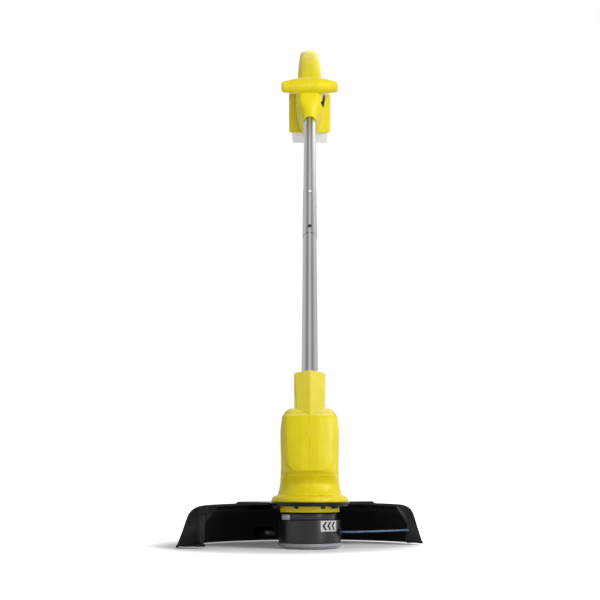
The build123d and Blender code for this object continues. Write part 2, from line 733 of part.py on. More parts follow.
def bar_shape(inset):
    end = BAR_END_R - inset
    tip = BAR_HALF - inset
    outline = [(0, -tip), (end - 4, -tip), (end, -tip + 4), (BAR_R - inset - 1, -25), (BAR_R - inset, 0)]
    mirror = [(r, -x) for r, x in outline[-2::-1]]
    return Pos(0, BAR_H, BAR_N) * Rot(0, 90, 0) * turned(outline + mirror)


def bay_outline():
    return [
        (BAY_FRONT_LOW, KEEL_LOW), (BAY_FRONT_HIGH, DECK_TOP), (DECK_REAR - 14, DECK_TOP - DECK_FALL),
        (DECK_REAR - 2, DECK_TOP - DECK_FALL - 8), (DECK_REAR, DECK_FLOOR),
        (DECK_REAR - 23, DECK_FLOOR - 16), (150, KEEL_LOW),
    ]


def battery_space():
    """The slot that the battery slides into, open behind and below."""
    wall = WALL + 0.6
    low = KEEL_LOW - 60
    outline = [
        (bay_front(DECK_FLOOR) + wall, DECK_FLOOR), (FAR, DECK_FLOOR),
        (FAR, low), (bay_front(low) + wall, low),
    ]
    slot = side_slab(outline, BAY_HALF - WALL)
    inner = BAY_HALF - WALL - RAIL_DEPTH
    for left, right in ((-FAR, -inner), (inner, FAR)):
        slot -= block(left, right, BATTERY_FRONT + 4, DECK_REAR - 32, RAIL_LOW, RAIL_HIGH)
    return slot


def deck_space():
    floor = DECK_FLOOR + WALL
    ceiling = DECK_TOP - WALL
    outline = [
        (bay_front(floor) + WALL, floor), (bay_front(ceiling) + WALL, ceiling),
        (DECK_REAR - 15, ceiling - DECK_FALL), (DECK_REAR - 2 - WALL, DECK_TOP - DECK_FALL - 9),
        (DECK_REAR - WALL, floor),
    ]
    return side_slab(outline, BAY_HALF - WALL)


def tube_ribs():
    ribs = Part()
    for front in (18, 46, 66):
        ribs += block(-FAR, FAR, front, front + RIB_H, -26, TUBE_R)
    return ribs


def switch_cradle():
    cradle = Part()
    for front in (SWITCH_FRONT + 3, SWITCH_BACK - 6):
        cradle += block(-FAR, FAR, front, front + RIB_H, SWITCH_LOW + 3, SWITCH_HIGH + 9)
    for left, right in ((-FAR, -TRIGGER_HALF - 1), (TRIGGER_HALF + 1, FAR)):
        cradle += rod_x(PIN_R + 3, left, right, TRIGGER_H, TRIGGER_N)
    return cradle


def lock_spring_seat():
    return block(2.0, 5.0, 24, 36, LOCK_LOW + 0.5, BAR_N)


def board_posts():
    posts = Part()
    for x in (-20, 20):
        for h in (110, 168):
            posts += rod_z(3, DECK_FLOOR + 1, BOARD_N, x, h)
    return posts


def handle_shell():
    skin = keel_shape(0) + arch_shape(0) + bar_shape(0) + side_slab(bay_outline(), BAY_HALF)
    front_space = keel_shape(WALL)
    arch_space = arch_shape(WALL)
    inside = front_space + arch_space + bar_shape(WALL)
    deck = deck_space()
    passage = block(-8, CABLE_X + CABLE_R + 2, TUBE_END + 4, BAY_FRONT_HIGH, SOCKET_N - 5, 8)
    bosses = Part()
    for h, n in HANDLE_SCREWS:
        bosses += screw_boss(h, n)
    shell = skin - inside - deck - battery_space() - passage
    shell += (bosses & (inside + deck))
    shell += (tube_ribs() & front_space) + (switch_cradle() & arch_space) + (lock_spring_seat() & inside)
    shell += board_posts()
    shell -= rod_y(TUBE_R + RUN, LIP_H - 5, TUBE_END + SEAT)
    shell -= block(-SWITCH_HALF - SEAT, SWITCH_HALF + SEAT, SWITCH_FRONT - SEAT, SWITCH_BACK + SEAT,
                   SWITCH_LOW, SWITCH_HIGH + SEAT)
    shell -= rod_x(PIN_R + RUN, -ARCH_HALF + 1, ARCH_HALF - 1, TRIGGER_H, TRIGGER_N)
    gap = TRIGGER_HALF + 2 * SLIDE
    shell -= block(-gap, gap, TRIGGER_H - 6, TRIGGER_H + 56, 20, TRIGGER_N - 4)
    shell -= block(15, FAR, LOCK_FRONT - SLIDE, LOCK_BACK + SLIDE, LOCK_LOW - SLIDE, LOCK_HIGH + SLIDE)
    for x in lead_places():
        shell -= rod_z(1.6, DECK_FLOOR - 1, BOARD_N, x, lead_h())
    for h, n in HANDLE_SCREWS:
        shell -= screw_hole(h, n)
    return grip * shell


def handle_screws():
    return Compound(children=[grip * screw(h, n) for h, n in HANDLE_SCREWS])


def trigger_pin():
    return grip * rod_x(PIN_R, -ARCH_HALF + WALL, ARCH_HALF - WALL, TRIGGER_H, TRIGGER_N)


def trigger():
    outline = [
        (TRIGGER_H - 3, TRIGGER_N + 3.5), (TRIGGER_H + 4, TRIGGER_N + 4), (TRIGGER_H + 46, TRIGGER_N + 1),
        (TRIGGER_H + 52, TRIGGER_N - 3), (TRIGGER_H + 50, TRIGGER_N - 9), (TRIGGER_H + 42, TRIGGER_N - 17),
        (TRIGGER_H + 30, TRIGGER_N - 21), (TRIGGER_H + 18, TRIGGER_N - 18), (TRIGGER_H + 8, TRIGGER_N - 10),
        (TRIGGER_H - 3, TRIGGER_N - 4),
    ]
    lever = side_slab(outline, TRIGGER_HALF)
    return grip * (lever - rod_x(PIN_R + RUN, -FAR, FAR, TRIGGER_H, TRIGGER_N))


def trigger_spring():
    low = TRIGGER_N + 1.6
    high = 65.4
    return grip * (Pos(0, TRIGGER_H + 43, low) * coil(3.0, 0.45, high - low, 6))


def switch_body():
    body = block(-SWITCH_HALF, SWITCH_HALF, SWITCH_FRONT, SWITCH_BACK, SWITCH_LOW, SWITCH_HIGH)
    return grip * (body - rod_z(PLUNGER_R + RUN, 0, SWITCH_HIGH - 2, 0, PLUNGER_H))


def switch_plunger():
    below = TRIGGER_N + 4 - (PLUNGER_H - TRIGGER_H - 4) * 3 / 42
    return grip * rod_z(PLUNGER_R, below + SLIDE, SWITCH_LOW + 2.5, 0, PLUNGER_H)


def switch_lead():
    x = -4.0
    top = (SWITCH_LOW + SWITCH_HIGH) / 2
    route = [
        (x, SWITCH_FRONT, top), (x, TUBE_END + 14, top), (x, TUBE_END + 14, -6),
        (x, SOCKET_H - 12, SOCKET_N), (x, SOCKET_H, SOCKET_N),
    ]
    return grip * cord(route, CABLE_R - 0.7)


def lock_off_button():
    inner = FRONT_HALF - WALL - SLIDE
    wedge = [
        (inner - 3, LOCK_FRONT), (FRONT_HALF + 1, LOCK_FRONT), (FRONT_HALF + LOCK_PROUD, LOCK_BACK - 4),
        (FRONT_HALF + LOCK_PROUD, LOCK_BACK), (inner - 3, LOCK_BACK),
    ]
    face = make_face(Polyline(*[(x, y, LOCK_LOW) for x, y in wedge], close=True))
    pad = extrude(face, amount=LOCK_HIGH - LOCK_LOW, dir=(0, 0, 1))
    pad += block(inner - 3, inner, LOCK_FRONT - 3, LOCK_BACK + 3, LOCK_LOW - 1.6, LOCK_HIGH + 1.6)
    return grip * pad


def lock_off_spring():
    start = 5.0 + SEAT
    length = FRONT_HALF - WALL - SLIDE - 3 - SEAT - start
    middle = (LOCK_LOW + LOCK_HIGH) / 2
    return grip * (Pos(start, 30, middle) * Rot(0, 90, 0) * coil(3.4, 0.45, length, 6))


def control_board():
    top = BOARD_N + BOARD_T
    board = block(-26, 26, 99, 178, BOARD_N, top)
    board += block(2, 12, SOCKET_H, SOCKET_H + 8, top, SOCKET_N + 3.5)
    board += block(-9, 0, SOCKET_H, SOCKET_H + 8, top, SOCKET_N + 3.5)
    board += block(-22, 4, 145, 149, top, top + 9)
    board += rod_z(5, top, top + 9, 14, 160)
    board += block(10, 20, 130, 140, top, top + 2)
    return grip * board


def lead_h():
    return BATTERY_FRONT + 12


def lead_places():
    return (-12, 12)


def battery_leads():
    leads = [rod_z(1.2, DECK_FLOOR, BOARD_N, x, lead_h()) for x in lead_places()]
    return Compound(children=[grip * lead for lead in leads])


def blade_places():
    return [(number - 1.5) * BLADE_PITCH for number in range(4)]


def terminal_block():
    back = BATTERY_FRONT + NOTCH_LEN - 1
    return grip * block(-NOTCH_HALF + 2, NOTCH_HALF - 2, BATTERY_FRONT + 1, back, NOTCH_LOW + 1, DECK_FLOOR)


def terminal_blades():
    front = BATTERY_FRONT + NOTCH_LEN - 1
    blades = []
    for x in blade_places():
        left = x - CONTACT_T / 2
        blade = block(left, left + CONTACT_T, front, front + 17, NOTCH_LOW + 3, NOTCH_LOW + 11)
        blades.append(grip * blade)
    return Compound(children=blades)


# Battery
def battery_screw_places():
    back = BATTERY_BACK - 6.5
    front = BATTERY_FRONT + 6.5
    x = BATTERY_IN - 4.8
    return [(-x, front), (x, front), (-x, back), (x, back)]


def battery_case_top():
    inner = BATTERY_WALL
    case = block(-BATTERY_HALF, BATTERY_HALF, BATTERY_FRONT, BATTERY_BACK, BATTERY_SPLIT, BATTERY_TOP)
    space = block(-BATTERY_IN, BATTERY_IN, BATTERY_FRONT + inner, BATTERY_BACK - inner,
                  BATTERY_SPLIT - 1, BATTERY_TOP - inner)
    notch_back = BATTERY_FRONT + NOTCH_LEN
    space -= block(-NOTCH_HALF - inner, NOTCH_HALF + inner, 0, notch_back + inner, NOTCH_LOW - inner, 0)
    pocket_front = LATCH_BACK - LATCH_LEN - 2
    space -= block(-LATCH_HALF - 3, LATCH_HALF + 3, pocket_front - inner, FAR, NOTCH_LOW - inner, 0)
    for x, h in battery_screw_places():
        space -= rod_z(CASE_BOSS_R, BATTERY_SPLIT - 1, FAR / 8, x, h)
    case -= space
    case -= block(-NOTCH_HALF, NOTCH_HALF, 0, notch_back, NOTCH_LOW, 0)
    case -= block(-LATCH_HALF - SLIDE, LATCH_HALF + SLIDE, pocket_front, FAR, NOTCH_LOW, 0)
    for x in blade_places():
        back = notch_back + inner + 1
        case -= block(x - 1, x + 1, notch_back - 1, back, NOTCH_LOW + 1.5, NOTCH_LOW + 12.5)
    groove = BAY_HALF - WALL - RAIL_DEPTH - 0.4
    for left, right in ((-FAR, -groove), (groove, FAR)):
        case -= block(left, right, 0, FAR, RAIL_LOW - SLIDE, RAIL_HIGH + SLIDE)
    for x, h in battery_screw_places():
        case -= rod_z(SCREW_R + RUN, BATTERY_SPLIT - 1, BATTERY_SPLIT + 8, x, h)
    return grip * case


def battery_case_bottom():
    outline = [
        (-BATTERY_HALF, BATTERY_SPLIT), (-BATTERY_HALF + 2, BATTERY_SPLIT - 6),
        (-BATTERY_FOOT_HALF, BATTERY_LOW + 3), (-BATTERY_FOOT_HALF + 3, BATTERY_LOW),
    ]
    outline += [(-x, z) for x, z in outline[::-1]]
    case = front_slab(outline, BATTERY_FRONT, BATTERY_BACK)
    inner = BATTERY_FOOT_HALF - BATTERY_WALL
    space = block(-inner, inner, BATTERY_FRONT + BATTERY_WALL, BATTERY_BACK - BATTERY_WALL,
                  BATTERY_LOW + BATTERY_WALL, 0)
    for x, h in battery_screw_places():
        space -= rod_z(CASE_BOSS_R, -FAR, 0, x, h)
    case -= space
    for x, h in battery_screw_places():
        case -= rod_z(SCREW_R + RUN, -FAR, 0, x, h)
        case -= rod_z(SCREW_HEAD_R + SLIDE, -FAR, BATTERY_LOW + 3, x, h)
    return grip * case


def battery_screws():
    screws = []
    for x, h in battery_screw_places():
        shank = rod_z(SCREW_R, BATTERY_LOW + 3, BATTERY_SPLIT + 7.5, x, h)
        screws.append(grip * (shank + rod_z(SCREW_HEAD_R, BATTERY_LOW + 0.6, BATTERY_LOW + 3, x, h)))
    return Compound(children=screws)


def cell_places():
    middle = (BATTERY_FRONT + BATTERY_BACK) / 2
    places = []
    for row in range(CELL_ROWS):
        for column in range(CELL_COLUMNS):
            h = middle + (column - (CELL_COLUMNS - 1) / 2) * CELL_PITCH
            places.append((h, CELL_ROW + row * CELL_PITCH))
    return places


def battery_cells():
    cells = [rod_x(CELL_R, -CELL_LEN / 2, CELL_LEN / 2, h, n) for h, n in cell_places()]
    return Compound(children=[grip * cell for cell in cells])


def holder_top():
    return CELL_ROW + CELL_PITCH * (CELL_ROWS - 1) + CELL_R + 2.0


def cell_holders():
    places = cell_places()
    front = places[0][0] - CELL_R - 1
    back = places[-1][0] + CELL_R + 1
    holders = []
    for x in (-26, 20):
        plate = block(x, x + 6, front, back, BATTERY_LOW + BATTERY_WALL + SEAT, holder_top())
        for h, n in places:
            plate -= rod_x(CELL_R + RUN, -FAR, FAR, h, n)
        holders.append(grip * plate)
    return Compound(children=holders)


def battery_board():
    low = holder_top()
    front = BATTERY_FRONT + 19
    board = block(-28, 28, front - 1, BATTERY_BACK - 26, low, low + BOARD_T)
    for x in blade_places():
        board += block(x - 1.6, x + 1.6, front, front + 12, low, NOTCH_LOW + 11.5)
        board -= block(x - 0.6, x + 0.6, front - 1, front + 13, NOTCH_LOW + 1.5, 0)
    return grip * board


def battery_latch():
    top = BATTERY_TOP - 0.9
    front = LATCH_BACK - LATCH_LEN
    latch = block(-LATCH_HALF, LATCH_HALF, front, LATCH_BACK, top - 8.6, top)
    latch += block(-6, 6, front + 2, front + 8, top - 1, DECK_FLOOR - 0.5)
    latch += block(-LATCH_HALF + 1, LATCH_HALF - 1, LATCH_BACK - 1, LATCH_BACK + 4.5, top - 9.5, top - 0.5)
    return grip * latch


def battery_latch_spring():
    low = NOTCH_LOW + SEAT
    length = BATTERY_TOP - 0.9 - 8.6 - SEAT - low
    return grip * (Pos(0, LATCH_BACK - LATCH_LEN / 2 - 2, low) * coil(3.2, 0.45, length, 3))


motor_shell = motor_housing()
handle = handle_shell()
NODES = {
    "motor_housing_left": half(motor_shell, -1),
    "motor_housing_right": half(motor_shell, 1),
    "housing_screws": housing_screws(),
    "motor_plate": motor_plate(),
    "motor_screws": motor_screws(),
    "motor_can": motor_can(),
    "motor_magnets": motor_magnets(),
    "motor_end_cap": motor_end_cap(),
    "motor_brushes": brushes(),
    "motor_plug": motor_plug(),
    "motor_bearings": motor_bearings(),
    "motor_cable": motor_cable(),
    "motor_shaft": motor_shaft(),
    "armature": armature(),
    "drive_hub": drive_hub(),
    "hub_nut": hub_nut(),
    "spool_drum": spool_drum(),
    "latch_tab_front": latch_tab(TAB_AZIMUTH),
    "latch_tab_rear": latch_tab(TAB_AZIMUTH - 180),
    "latch_tab_spring_front": latch_tab_spring(TAB_AZIMUTH),
    "latch_tab_spring_rear": latch_tab_spring(TAB_AZIMUTH - 180),
    "line_eyelet": line_eyelet(),
    "cutting_line": cutting_line(),
    "drum_cover": drum_cover(),
    "spool": spool(),
    "line_winding": line_winding(),
    "spool_spring": spool_spring(),
    "guard": guard(),
    "guard_screws": guard_screws(),
    "line_cutter": line_cutter(),
    "cutter_screws": cutter_screws(),
    "lower_tube": lower_tube(),
    "upper_tube": upper_tube(),
    "coupling_sleeve": coupling_sleeve(),
    "sleeve_rivet": sleeve_rivet(),
    "snap_button": snap_button(),
    "snap_spring": snap_spring(),
    "handle_left": half(handle, -1),
    "handle_right": half(handle, 1),
    "handle_screws": handle_screws(),
    "trigger": trigger(),
    "trigger_pin": trigger_pin(),
    "trigger_spring": trigger_spring(),
    "switch_body": switch_body(),
    "switch_plunger": switch_plunger(),
    "switch_lead": switch_lead(),
    "lock_off_button": lock_off_button(),
    "lock_off_spring": lock_off_spring(),
    "control_board": control_board(),
    "battery_leads": battery_leads(),
    "terminal_block": terminal_block(),
    "terminal_blades": terminal_blades(),
    "battery_case_top": battery_case_top(),
    "battery_case_bottom": battery_case_bottom(),
    "battery_screws": battery_screws(),
    "battery_cells": battery_cells(),
    "cell_holders": cell_holders(),
    "battery_board": battery_board(),
    "battery_latch": battery_latch(),
    "battery_latch_spring": battery_latch_spring(),
}
os.makedirs("parts", exist_ok=True)
for name, shape in NODES.items():
    export_step(shape, f"parts/{name}.step")
print(len(NODES), "nodes written")
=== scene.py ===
# %% [markdown]
# # A cordless string trimmer
# The trimmer's working parts come from a imported CAD model and stay where they are. This lesson
# gives them their finishes, and models again the shells that the eye rests on.

# %% Load the frame
import json
import math

import bpy
from mathutils import Matrix, Vector


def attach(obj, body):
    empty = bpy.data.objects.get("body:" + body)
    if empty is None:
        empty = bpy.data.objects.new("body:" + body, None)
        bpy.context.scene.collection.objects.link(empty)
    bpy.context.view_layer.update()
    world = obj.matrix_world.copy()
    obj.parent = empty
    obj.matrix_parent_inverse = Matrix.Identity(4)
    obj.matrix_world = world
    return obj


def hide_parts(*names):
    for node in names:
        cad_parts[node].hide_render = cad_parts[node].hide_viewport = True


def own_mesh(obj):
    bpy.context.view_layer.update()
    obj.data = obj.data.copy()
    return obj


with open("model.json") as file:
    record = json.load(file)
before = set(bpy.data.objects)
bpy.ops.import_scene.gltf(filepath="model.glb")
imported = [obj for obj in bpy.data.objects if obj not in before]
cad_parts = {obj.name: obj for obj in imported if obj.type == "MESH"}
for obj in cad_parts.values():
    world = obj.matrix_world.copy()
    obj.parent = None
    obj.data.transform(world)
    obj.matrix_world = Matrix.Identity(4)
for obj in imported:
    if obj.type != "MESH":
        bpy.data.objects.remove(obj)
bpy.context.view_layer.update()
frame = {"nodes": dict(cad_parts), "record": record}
nodes = frame["nodes"]
scene = bpy.context.scene
bpy.ops.object.select_all(action="DESELECT")

# %% [markdown]
# ## Camera
# The photograph was taken from low down in front, looking up a little, so that the shaft runs
# straight up the picture. A 54 mm lens on a 36 mm sensor gives the same foreshortening. A small
# sideways shift frames the trimmer just right of the middle without turning the camera.

# %% Camera
CAMERA_PLACE = (0, -1.125, 0.069)
CAMERA_TURN = (math.radians(101.9), 0, 0)
LENS = 54
SENSOR = 36
SIDE_SHIFT = -0.0162  # share of the picture's width

bpy.ops.object.camera_add(location=CAMERA_PLACE, rotation=CAMERA_TURN)
camera = bpy.context.object
camera.name = "viewpoint"
camera.data.lens = LENS
camera.data.sensor_width = SENSOR
camera.data.shift_x = SIDE_SHIFT
scene.camera = camera
print("camera at", tuple(round(x, 3) for x in camera.location))

# %% [markdown]
# ## Light and floor
# One large soft lamp on the right lights the trimmer, so its left sides fall into shade, and a small
# one below it puts highlights on the drum. A weaker lamp on the left and an even world keep the shade
# open, and one behind lights the upper edges. A narrow lamp low in front stands for the light that a
# white floor throws up at the handle. The floor and the world look white to the camera and in
# reflections. Near the trimmer the floor's glow for the camera is dimmed into a painted shadow round a
# point left of and behind the drum, on top of the real shadow that the lamps cast; further away the
# floor brightens into the background.

# %% Light and floor
LAMPS = [
    # name, place, target, size, power in watts, spread in degrees
    ("key_right", (1.5, -1.3, 1.5), (0, 0.2, 0.45), 0.9, 34, 180),
    ("fill_left", (-1.7, -1.2, 0.7), (0, 0.2, 0.45), 1.2, 2, 180),
    ("back_top", (0.3, 1.6, 2.0), (0, 0.3, 0.5), 1.2, 12, 180),
    ("strip_right", (1.1, -1.25, 0.3), (0, 0, 0.1), 0.4, 3.5, 180),
    ("handle_low", (0.2, -1.3, 0.25), (0, 0.6, 0.84), 0.5, 0.3, 30),
]
WHITE = (1, 1, 1, 1)
WORLD_LIGHT = 0.32
WORLD_SEEN = 1.0
FLOOR_SIZE = 30
FLOOR_COLOUR = (0.8, 0.8, 0.8, 1)
# painted shadow on the floor: round this middle the floor's glow for the camera is dimmed
SHADOW_MIDDLE = (-0.03, 0.06, 0)
SHADOW_NEAR = 0.13    # up to this far from its middle the shadow is full
SHADOW_FAR = 0.24     # from here on the floor is as bright as the background
SHADOW_GLOW = 0.12    # how much the floor glows within the shadow
FLOOR_GLOW = 1.0      # and outside it

scene.view_settings.view_transform = "Standard"


def add_lamp(name, place, target, size, power, spread):
    """A square lamp that points at a target."""
    aim = (Vector(target) - Vector(place)).to_track_quat("-Z", "Y").to_euler()
    bpy.ops.object.light_add(type="AREA", location=place, rotation=aim)
    lamp = bpy.context.object
    lamp.name = name
    lamp.data.size = size
    lamp.data.energy = power
    lamp.data.spread = math.radians(spread)


for settings in LAMPS:
    add_lamp(*settings)


def preset(node, **values):
    """Set a node's inputs, with spaces in their names written as underscores."""
    for name, value in values.items():
        node.inputs[name.replace("_", " ")].default_value = value


def maths(tree, operation, *sources):
    """The output of a node that does one sum with outputs or numbers."""
    node = tree.nodes.new("ShaderNodeMath")
    node.operation = operation
    for socket, source in zip(node.inputs, sources):
        if isinstance(source, float):
            socket.default_value = source
        else:
            tree.links.new(source, socket)
    return node.outputs[0]


def looked_at(tree):
    """One for rays from the camera, in reflections and through clear matter, and zero for light."""
    rays = tree.nodes.new("ShaderNodeLightPath").outputs
    either = maths(tree, "MAXIMUM", rays["Is Camera Ray"], rays["Is Glossy Ray"])
    return maths(tree, "MAXIMUM", either, rays["Is Transmission Ray"])


world = bpy.data.worlds.new("studio")
world.use_nodes = True
scene.world = world
tree = world.node_tree
seen = looked_at(tree)
dim = tree.nodes["Background"]
preset(dim, Color=WHITE, Strength=WORLD_LIGHT)
bright = tree.nodes.new("ShaderNodeBackground")
preset(bright, Color=WHITE, Strength=WORLD_SEEN)
choose = tree.nodes.new("ShaderNodeMixShader")
tree.links.new(seen, choose.inputs["Fac"])
tree.links.new(dim.outputs[0], choose.inputs[1])
tree.links.new(bright.outputs[0], choose.inputs[2])
tree.links.new(choose.outputs[0], tree.nodes["World Output"].inputs["Surface"])

bpy.ops.mesh.primitive_plane_add(size=FLOOR_SIZE, location=(0, 0, 0))
floor = bpy.context.object
floor.name = "floor"
paper = bpy.data.materials.new("white_paper_floor")
paper.use_nodes = True
tree = paper.node_tree
shader = tree.nodes["Principled BSDF"]
preset(shader, Base_Color=FLOOR_COLOUR, Roughness=1.0, Specular_IOR_Level=0.0)
seen = looked_at(tree)
lift = tree.nodes.new("ShaderNodeEmission")
spot = tree.nodes.new("ShaderNodeTexCoord")
away = tree.nodes.new("ShaderNodeVectorMath")
away.operation = "LENGTH"
shifted = tree.nodes.new("ShaderNodeVectorMath")
shifted.operation = "SUBTRACT"
shifted.inputs[1].default_value = SHADOW_MIDDLE
tree.links.new(spot.outputs["Object"], shifted.inputs[0])
tree.links.new(shifted.outputs["Vector"], away.inputs[0])
# painted shadow: the floor's glow grows from SHADOW_GLOW near the middle to FLOOR_GLOW far away
painted_shadow = tree.nodes.new("ShaderNodeMapRange")
painted_shadow.interpolation_type = "SMOOTHSTEP"
preset(painted_shadow, From_Min=SHADOW_NEAR, From_Max=SHADOW_FAR, To_Min=SHADOW_GLOW, To_Max=FLOOR_GLOW)
tree.links.new(away.outputs["Value"], painted_shadow.inputs["Value"])
glow = maths(tree, "MULTIPLY", seen, painted_shadow.outputs["Result"])
tree.links.new(glow, lift.inputs["Strength"])
total = tree.nodes.new("ShaderNodeAddShader")
tree.links.new(shader.outputs[0], total.inputs[0])
tree.links.new(lift.outputs[0], total.inputs[1])
tree.links.new(total.outputs[0], tree.nodes["Material Output"].inputs["Surface"])
floor.data.materials.append(paper)

# %% [markdown]
# ## Helpers for finishes
# Moulded plastic is never one flat colour: the mould leaves a fine grain, and the colour and gloss
# drift slowly over a shell. Each finish below starts from the same few steps: a noise placed on
# the object, a ramp of two close tints, a range of roughness and a shallow bump.

# %% Helpers for finishes
SHAFT_LEAN = math.radians(51.5)
NOISE_LOW = 0.3       # most of a noise lies between these two
NOISE_HIGH = 0.7
DRIFT_SCALE = 38      # waves of colour per metre
GLOSS_SCALE = 160
GRAIN_STRENGTH = 0.35
STREAK_SCALE = 900
STREAK_STRENGTH = 0.12
STREAK_DEPTH = 0.00002


def tint(red, green, blue):
    """Turn a colour as seen on screen, 0 to 255, into the linear light that shaders use."""
    linear = []
    for level in (red, green, blue):
        share = level / 255
        # the standard curve of screens is straight near black and a power above that
        linear.append(share / 12.92 if share <= 0.04045 else ((share + 0.055) / 1.055) ** 2.4)
    return (*linear, 1)


class Finish:
    """A material under construction, with the steps that the finishes share."""

    def __init__(self, name, roughness, metallic=0.0, specular=0.5):
        self.material = bpy.data.materials.new(name)
        self.material.use_nodes = True
        self.tree = self.material.node_tree
        self.shader = self.tree.nodes["Principled BSDF"]
        preset(self.shader, Roughness=roughness, Metallic=metallic, Specular_IOR_Level=specular)
        self.place = self.tree.nodes.new("ShaderNodeTexCoord").outputs["Object"]

    def link(self, source, target):
        """Connect an output to an input."""
        self.tree.links.new(source, target)

    def stretched(self, scale, rotation=(0, 0, 0)):
        """The object's coordinates, turned and stretched."""
        node = self.tree.nodes.new("ShaderNodeMapping")
        node.vector_type = "TEXTURE"
        preset(node, Rotation=rotation, Scale=scale)
        self.link(self.place, node.inputs["Vector"])
        return node.outputs[0]

    def noise(self, scale, detail=3.0, place=None):
        """A noise over the object."""
        node = self.tree.nodes.new("ShaderNodeTexNoise")
        preset(node, Scale=scale, Detail=detail)
        self.link(place or self.place, node.inputs["Vector"])
        return node.outputs["Fac"]

    def colours(self, factor, low, high, start=0.35, end=0.65):
        """Colour the surface between two tints."""
        node = self.tree.nodes.new("ShaderNodeValToRGB")
        node.color_ramp.elements[0].position = start
        node.color_ramp.elements[0].color = low
        node.color_ramp.elements[1].position = end
        node.color_ramp.elements[1].color = high
        self.link(factor, node.inputs["Fac"])
        self.link(node.outputs["Color"], self.shader.inputs["Base Color"])
        return node

    def gloss(self, factor, low, high):
        """Vary the roughness between two values."""
        node = self.tree.nodes.new("ShaderNodeMapRange")
        preset(node, From_Min=NOISE_LOW, From_Max=NOISE_HIGH, To_Min=low, To_Max=high)
        self.link(factor, node.inputs["Value"])
        self.link(node.outputs["Result"], self.shader.inputs["Roughness"])

    def grain(self, height, strength, depth):
        """Add a fine bump."""
        node = self.tree.nodes.new("ShaderNodeBump")
        preset(node, Strength=strength, Distance=depth)
        self.link(height, node.inputs["Height"])
        self.link(node.outputs["Normal"], self.shader.inputs["Normal"])


def moulded(name, low, high, smooth, rough,
            grain_scale=2600, grain_depth=0.00004, specular=0.5):
    """A moulded plastic: two close tints, a drift of gloss and the mould's fine grain."""
    finish = Finish(name, rough, specular=specular)
    drift = finish.noise(DRIFT_SCALE, 4)
    finish.colours(drift, tint(*low), tint(*high))
    finish.gloss(finish.noise(GLOSS_SCALE, 3), smooth, rough)
    finish.grain(finish.noise(grain_scale, 2), GRAIN_STRENGTH, grain_depth)
    return finish.material


def metal(name, low, high, smooth, rough, stretch=(1, 1, 1)):
    """A metal with fine streaks along one direction."""
    finish = Finish(name, rough, metallic=1.0)
    streaks = finish.noise(STREAK_SCALE, 3, finish.stretched(stretch))
    finish.colours(streaks, tint(*low), tint(*high))
    finish.gloss(streaks, smooth, rough)
    finish.grain(streaks, STREAK_STRENGTH, STREAK_DEPTH)
    return finish.material


TUBE_REFLECTION_BANDS = [
    # share of the tube's half width, grey level of the painted reflection
    (0.0, 184), (0.1, 174), (0.22, 126), (0.36, 118),
    (0.5, 150), (0.66, 178), (0.85, 172), (1.0, 150),
]
TUBE_HALF = 0.0116    # half the width that the bands are spread over
TUBE_STRETCH = (1, 60, 1)
TUBE_ROUGHNESS = 0.36
TUBE_SMOOTH = 0.3
TUBE_ROUGH = 0.44


def grey(level):
    """A grey that is a shade towards blue."""
    return tint(level, level, level + 1)


def tube_with_painted_reflection(name):
    """Drawn aluminium with fine streaks along the tube, and a painted reflection: light and dark bands
    across it.
    """
    finish = Finish(name, TUBE_ROUGHNESS, metallic=1.0)
    axes = finish.tree.nodes.new("ShaderNodeSeparateXYZ")
    finish.link(finish.place, axes.inputs[0])
    across = maths(finish.tree, "ABSOLUTE", axes.outputs["X"])
    share = maths(finish.tree, "DIVIDE", across, TUBE_HALF)
    (start, inner), (end, outer) = TUBE_REFLECTION_BANDS[0], TUBE_REFLECTION_BANDS[-1]
    # painted reflection: these grey levels stand for light and dark reflected across the tube
    bands = finish.colours(share, grey(inner), grey(outer), start, end)
    for position, level in TUBE_REFLECTION_BANDS[1:-1]:
        bands.color_ramp.elements.new(position).color = grey(level)
    along = finish.stretched(TUBE_STRETCH, (SHAFT_LEAN, 0, 0))
    streaks = finish.noise(STREAK_SCALE, 3, along)
    finish.gloss(streaks, TUBE_SMOOTH, TUBE_ROUGH)
    finish.grain(streaks, STREAK_STRENGTH, STREAK_DEPTH)
    return finish.material


# %% [markdown]
# ## The finishes
# The shells are lemon, black and pale grey plastics. The tube is drawn aluminium, with streaks
# along the shaft, which leans at 51.5 degrees, and with a painted reflection of light and dark bands
# across it. Inside there are steel, brass and ferrite parts, green circuit boards and film-wrapped
# cells.

